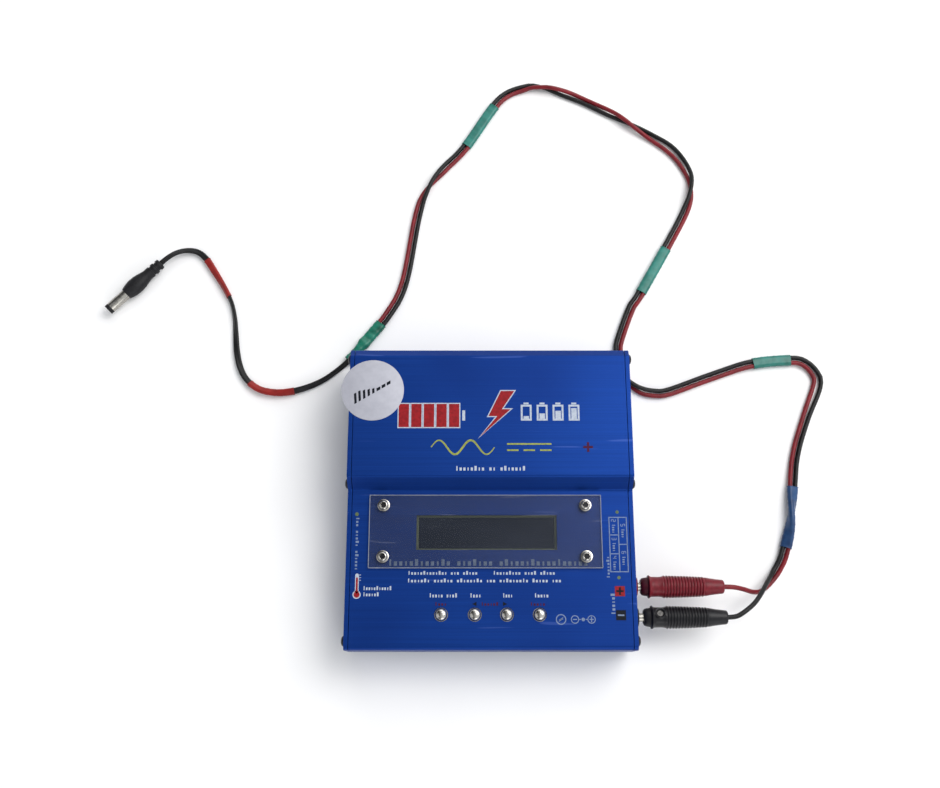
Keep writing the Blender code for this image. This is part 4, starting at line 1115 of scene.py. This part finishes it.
def print_upper():
    """A row of cells and a spark, four charge levels, and lines for alternating and direct current."""
    cells = [[(x, 31.8), (x + 4.9, 31.8), (x + 4.9, 43.2), (x, 43.2)]
             for x in (-43.6, -37.6, -31.6, -25.6, -19.6)]
    knob = oblong(-12.6, 37.5, 1.4, 5.0)
    spark = [(5.2, 49.6), (-0.8, 37.2), (3.4, 37.2), (-5.0, 27.0), (9.8, 40.6), (5.6, 40.6), (11.6, 49.6)]
    marks("badge_edges", [grown(cell, 0.5) for cell in cells] + [knob], INK_WHITE, UPPER)
    marks("badge_cells", cells, INK_RED, UPPER, 1)
    marks("spark_edge", [grown(spark, 0.5)], INK_WHITE, UPPER)
    marks("spark", [spark], INK_RED, UPPER, 1)
    levels = []
    for order, x in enumerate((17.2, 24.8, 32.4, 40.0)):
        levels += ring_outline(x, 38.9, 5.2, 7.8, 0.9) + [oblong(x, 43.4, 2.4, 0.9)]
        full = 1.3 * (order + 1)
        levels.append(oblong(x, 35.9 + full / 2, 2.6, full))
    marks("charge_levels", levels, INK_WHITE, UPPER)
    wave = [(-28.0 + 1.5 * step, 22.0 + 3.4 * sin(1.5 * step * tau / 15.0)) for step in range(21)]
    dashes = [oblong(18.4 + shift, 20.6, 5.4, 0.8) for shift in (-7.8, 0, 7.8)]
    marks("current_lines", [stroke(wave, 1.0), oblong(18.4, 23.6, 21.0, 0.8), *dashes], INK_YELLOW, UPPER)
    marks("heading_line", greeked(-16.6, 16.6, 11.9, 2.2, (8, 2, 7)), INK_WHITE, UPPER)
    marks("plus_mark", plus(46.2, 22.1, 4.6, 1.1, 1.8), INK_DARK_RED, UPPER)


def print_deck():
    """Titles and notes about the display and the buttons, and polarity signs."""
    marks("device_line", greeked(-48.0, 45.5, -31.2, 3.0, (12, 7, 17)), INK_GREY, LOWER)
    details = rows(-36.0, 1.7, (-38.6, -6.0, (13, 3, 5)), (1.0, 30.0, (9, 4, 5)))
    details += rows(-39.5, 1.7, (-38.8, 32.8, (7, 6, 8, 3, 9, 5, 3)))
    marks("detail_lines", details, INK_WHITE, LOWER)
    titles = rows(-46.3, 1.9, (-28.6, -15.4, (5, 4)), (-9.8, -4.4, (4,)), (5.4, 10.2, (4,)),
                  (20.0, 26.8, (5,)))
    marks("button_titles", titles, INK_WHITE, LOWER)
    notes = rows(-50.2, 1.6, (-26.0, -20.2, (4,)), (-4.6, 3.6, (6,)), (18.0, 25.2, (5,)))
    arrows = [[(-8.6, -50.2), (-6.6, -49.2), (-6.6, -51.2)], [(7.6, -50.2), (5.6, -51.2), (5.6, -49.2)]]
    marks("button_notes", notes, INK_DARK_RED, LOWER)
    marks("button_arrows", arrows, INK_BLACK, LOWER)
    y = -57.2
    signs = hoop(32.2, y, 2.4, 1.95) + hoop(38.6, y, 1.9, 1.5) + hoop(46.2, y, 1.9, 1.5)
    signs += [circle(42.4, y, 0.8, 24), oblong(38.6, y, 1.9, 0.45), oblong(46.2, y, 1.9, 0.45),
              oblong(46.2, y + 0.75, 0.45, 1.0), oblong(46.2, y - 0.75, 0.45, 1.0),
              oblong(40.9, y, 0.7, 0.4), oblong(43.9, y, 0.7, 0.4),
              [(31.0, -57.5), (32.2, -57.5), (33.6, -55.9)], [(33.4, -56.9), (32.2, -56.9), (30.8, -58.5)]]
    marks("polarity_signs", signs, INK_GREY, LOWER)


def print_margins():
    """The table of sockets, the marks beside the jacks and the thermometer."""
    table = ring_outline(59.9, -22.8, 8.6, 25.8, 0.42) + [oblong(60.1, -22.8, 0.42, 25.0)]
    table += [oblong(57.9, y, 4.2, 0.42) for y in (-18.4, -27.2)] + [oblong(62.2, -22.8, 3.8, 0.42)]
    marks("socket_table", table, INK_GREY, LOWER)
    cells = []
    for number, x, y in ((2, 57.9, -14.2), (3, 57.9, -22.8), (4, 57.9, -31.4), (5, 62.2, -16.4),
                         (6, 62.2, -29.2)):
        cells += upended(digit(number, -2.6, 0, 1.9) + greeked(-0.9, 3.4, 0, 1.5, (4,)), x, y)
    marks("socket_table_lines", cells, INK_GREY, LOWER)
    sides = upended(greeked(-12.5, 12.5, 0, 1.5, (3, 5, 6)), -62.4, -22.4)
    sides += upended(greeked(-5.0, 5.0, 0, 1.9, (6,)), 56.3, -50.2, False)
    sides += upended(greeked(-5.2, 5.2, 0, 1.4, (7,)), 54.6, -33.4, False)
    marks("side_lines", sides, INK_GREY, LOWER)
    dots = [circle(*dot, 24) for dot in ((-62.9, -8.6, 0.9), (59.8, -7.6, 0.8), (59.5, -38.2, 0.8))]
    marks("olive_dots", dots, INK_OLIVE, LOWER)
    marks("red_square", [oblong(59.7, -44.4, 4.6, 4.6)], INK_RED, LOWER)
    marks("black_square", [oblong(59.8, -55.3, 4.6, 4.6)], INK_BLACK, LOWER)
    marks("plus_on_red", plus(59.7, -44.4, 3.4, 0.9, 1.3), INK_BLACK, LOWER, 1)
    marks("minus_on_black", [oblong(59.8, -55.3, 3.0, 0.7)], INK_GREY, LOWER, 1)
    x, bulb = -62.0, -46.0
    marks("thermometer_edge", [pill(x, -41.0, 1.7, 9.4), circle(x, bulb, 1.9)], INK_WHITE, LOWER)
    marks("thermometer", [pill(x, -41.8, 0.9, 7.4), circle(x, bulb, 1.4)], INK_RED, LOWER, 1)
    ticks = [oblong(-60.6, -37.0 - step, 0.9, 0.25) for step in (0.0, 1.2, 2.4)]
    names = rows(-43.0, 1.8, (-59.2, -45.8, (11,))) + rows(-45.8, 1.8, (-59.2, -51.6, (6,)))
    marks("thermometer_lines", ticks + names, INK_WHITE, LOWER)


make_stage()
make_lead()
make_case()
make_display()
make_buttons()
make_ends()
make_label()
print_upper()
print_deck()
print_margins()
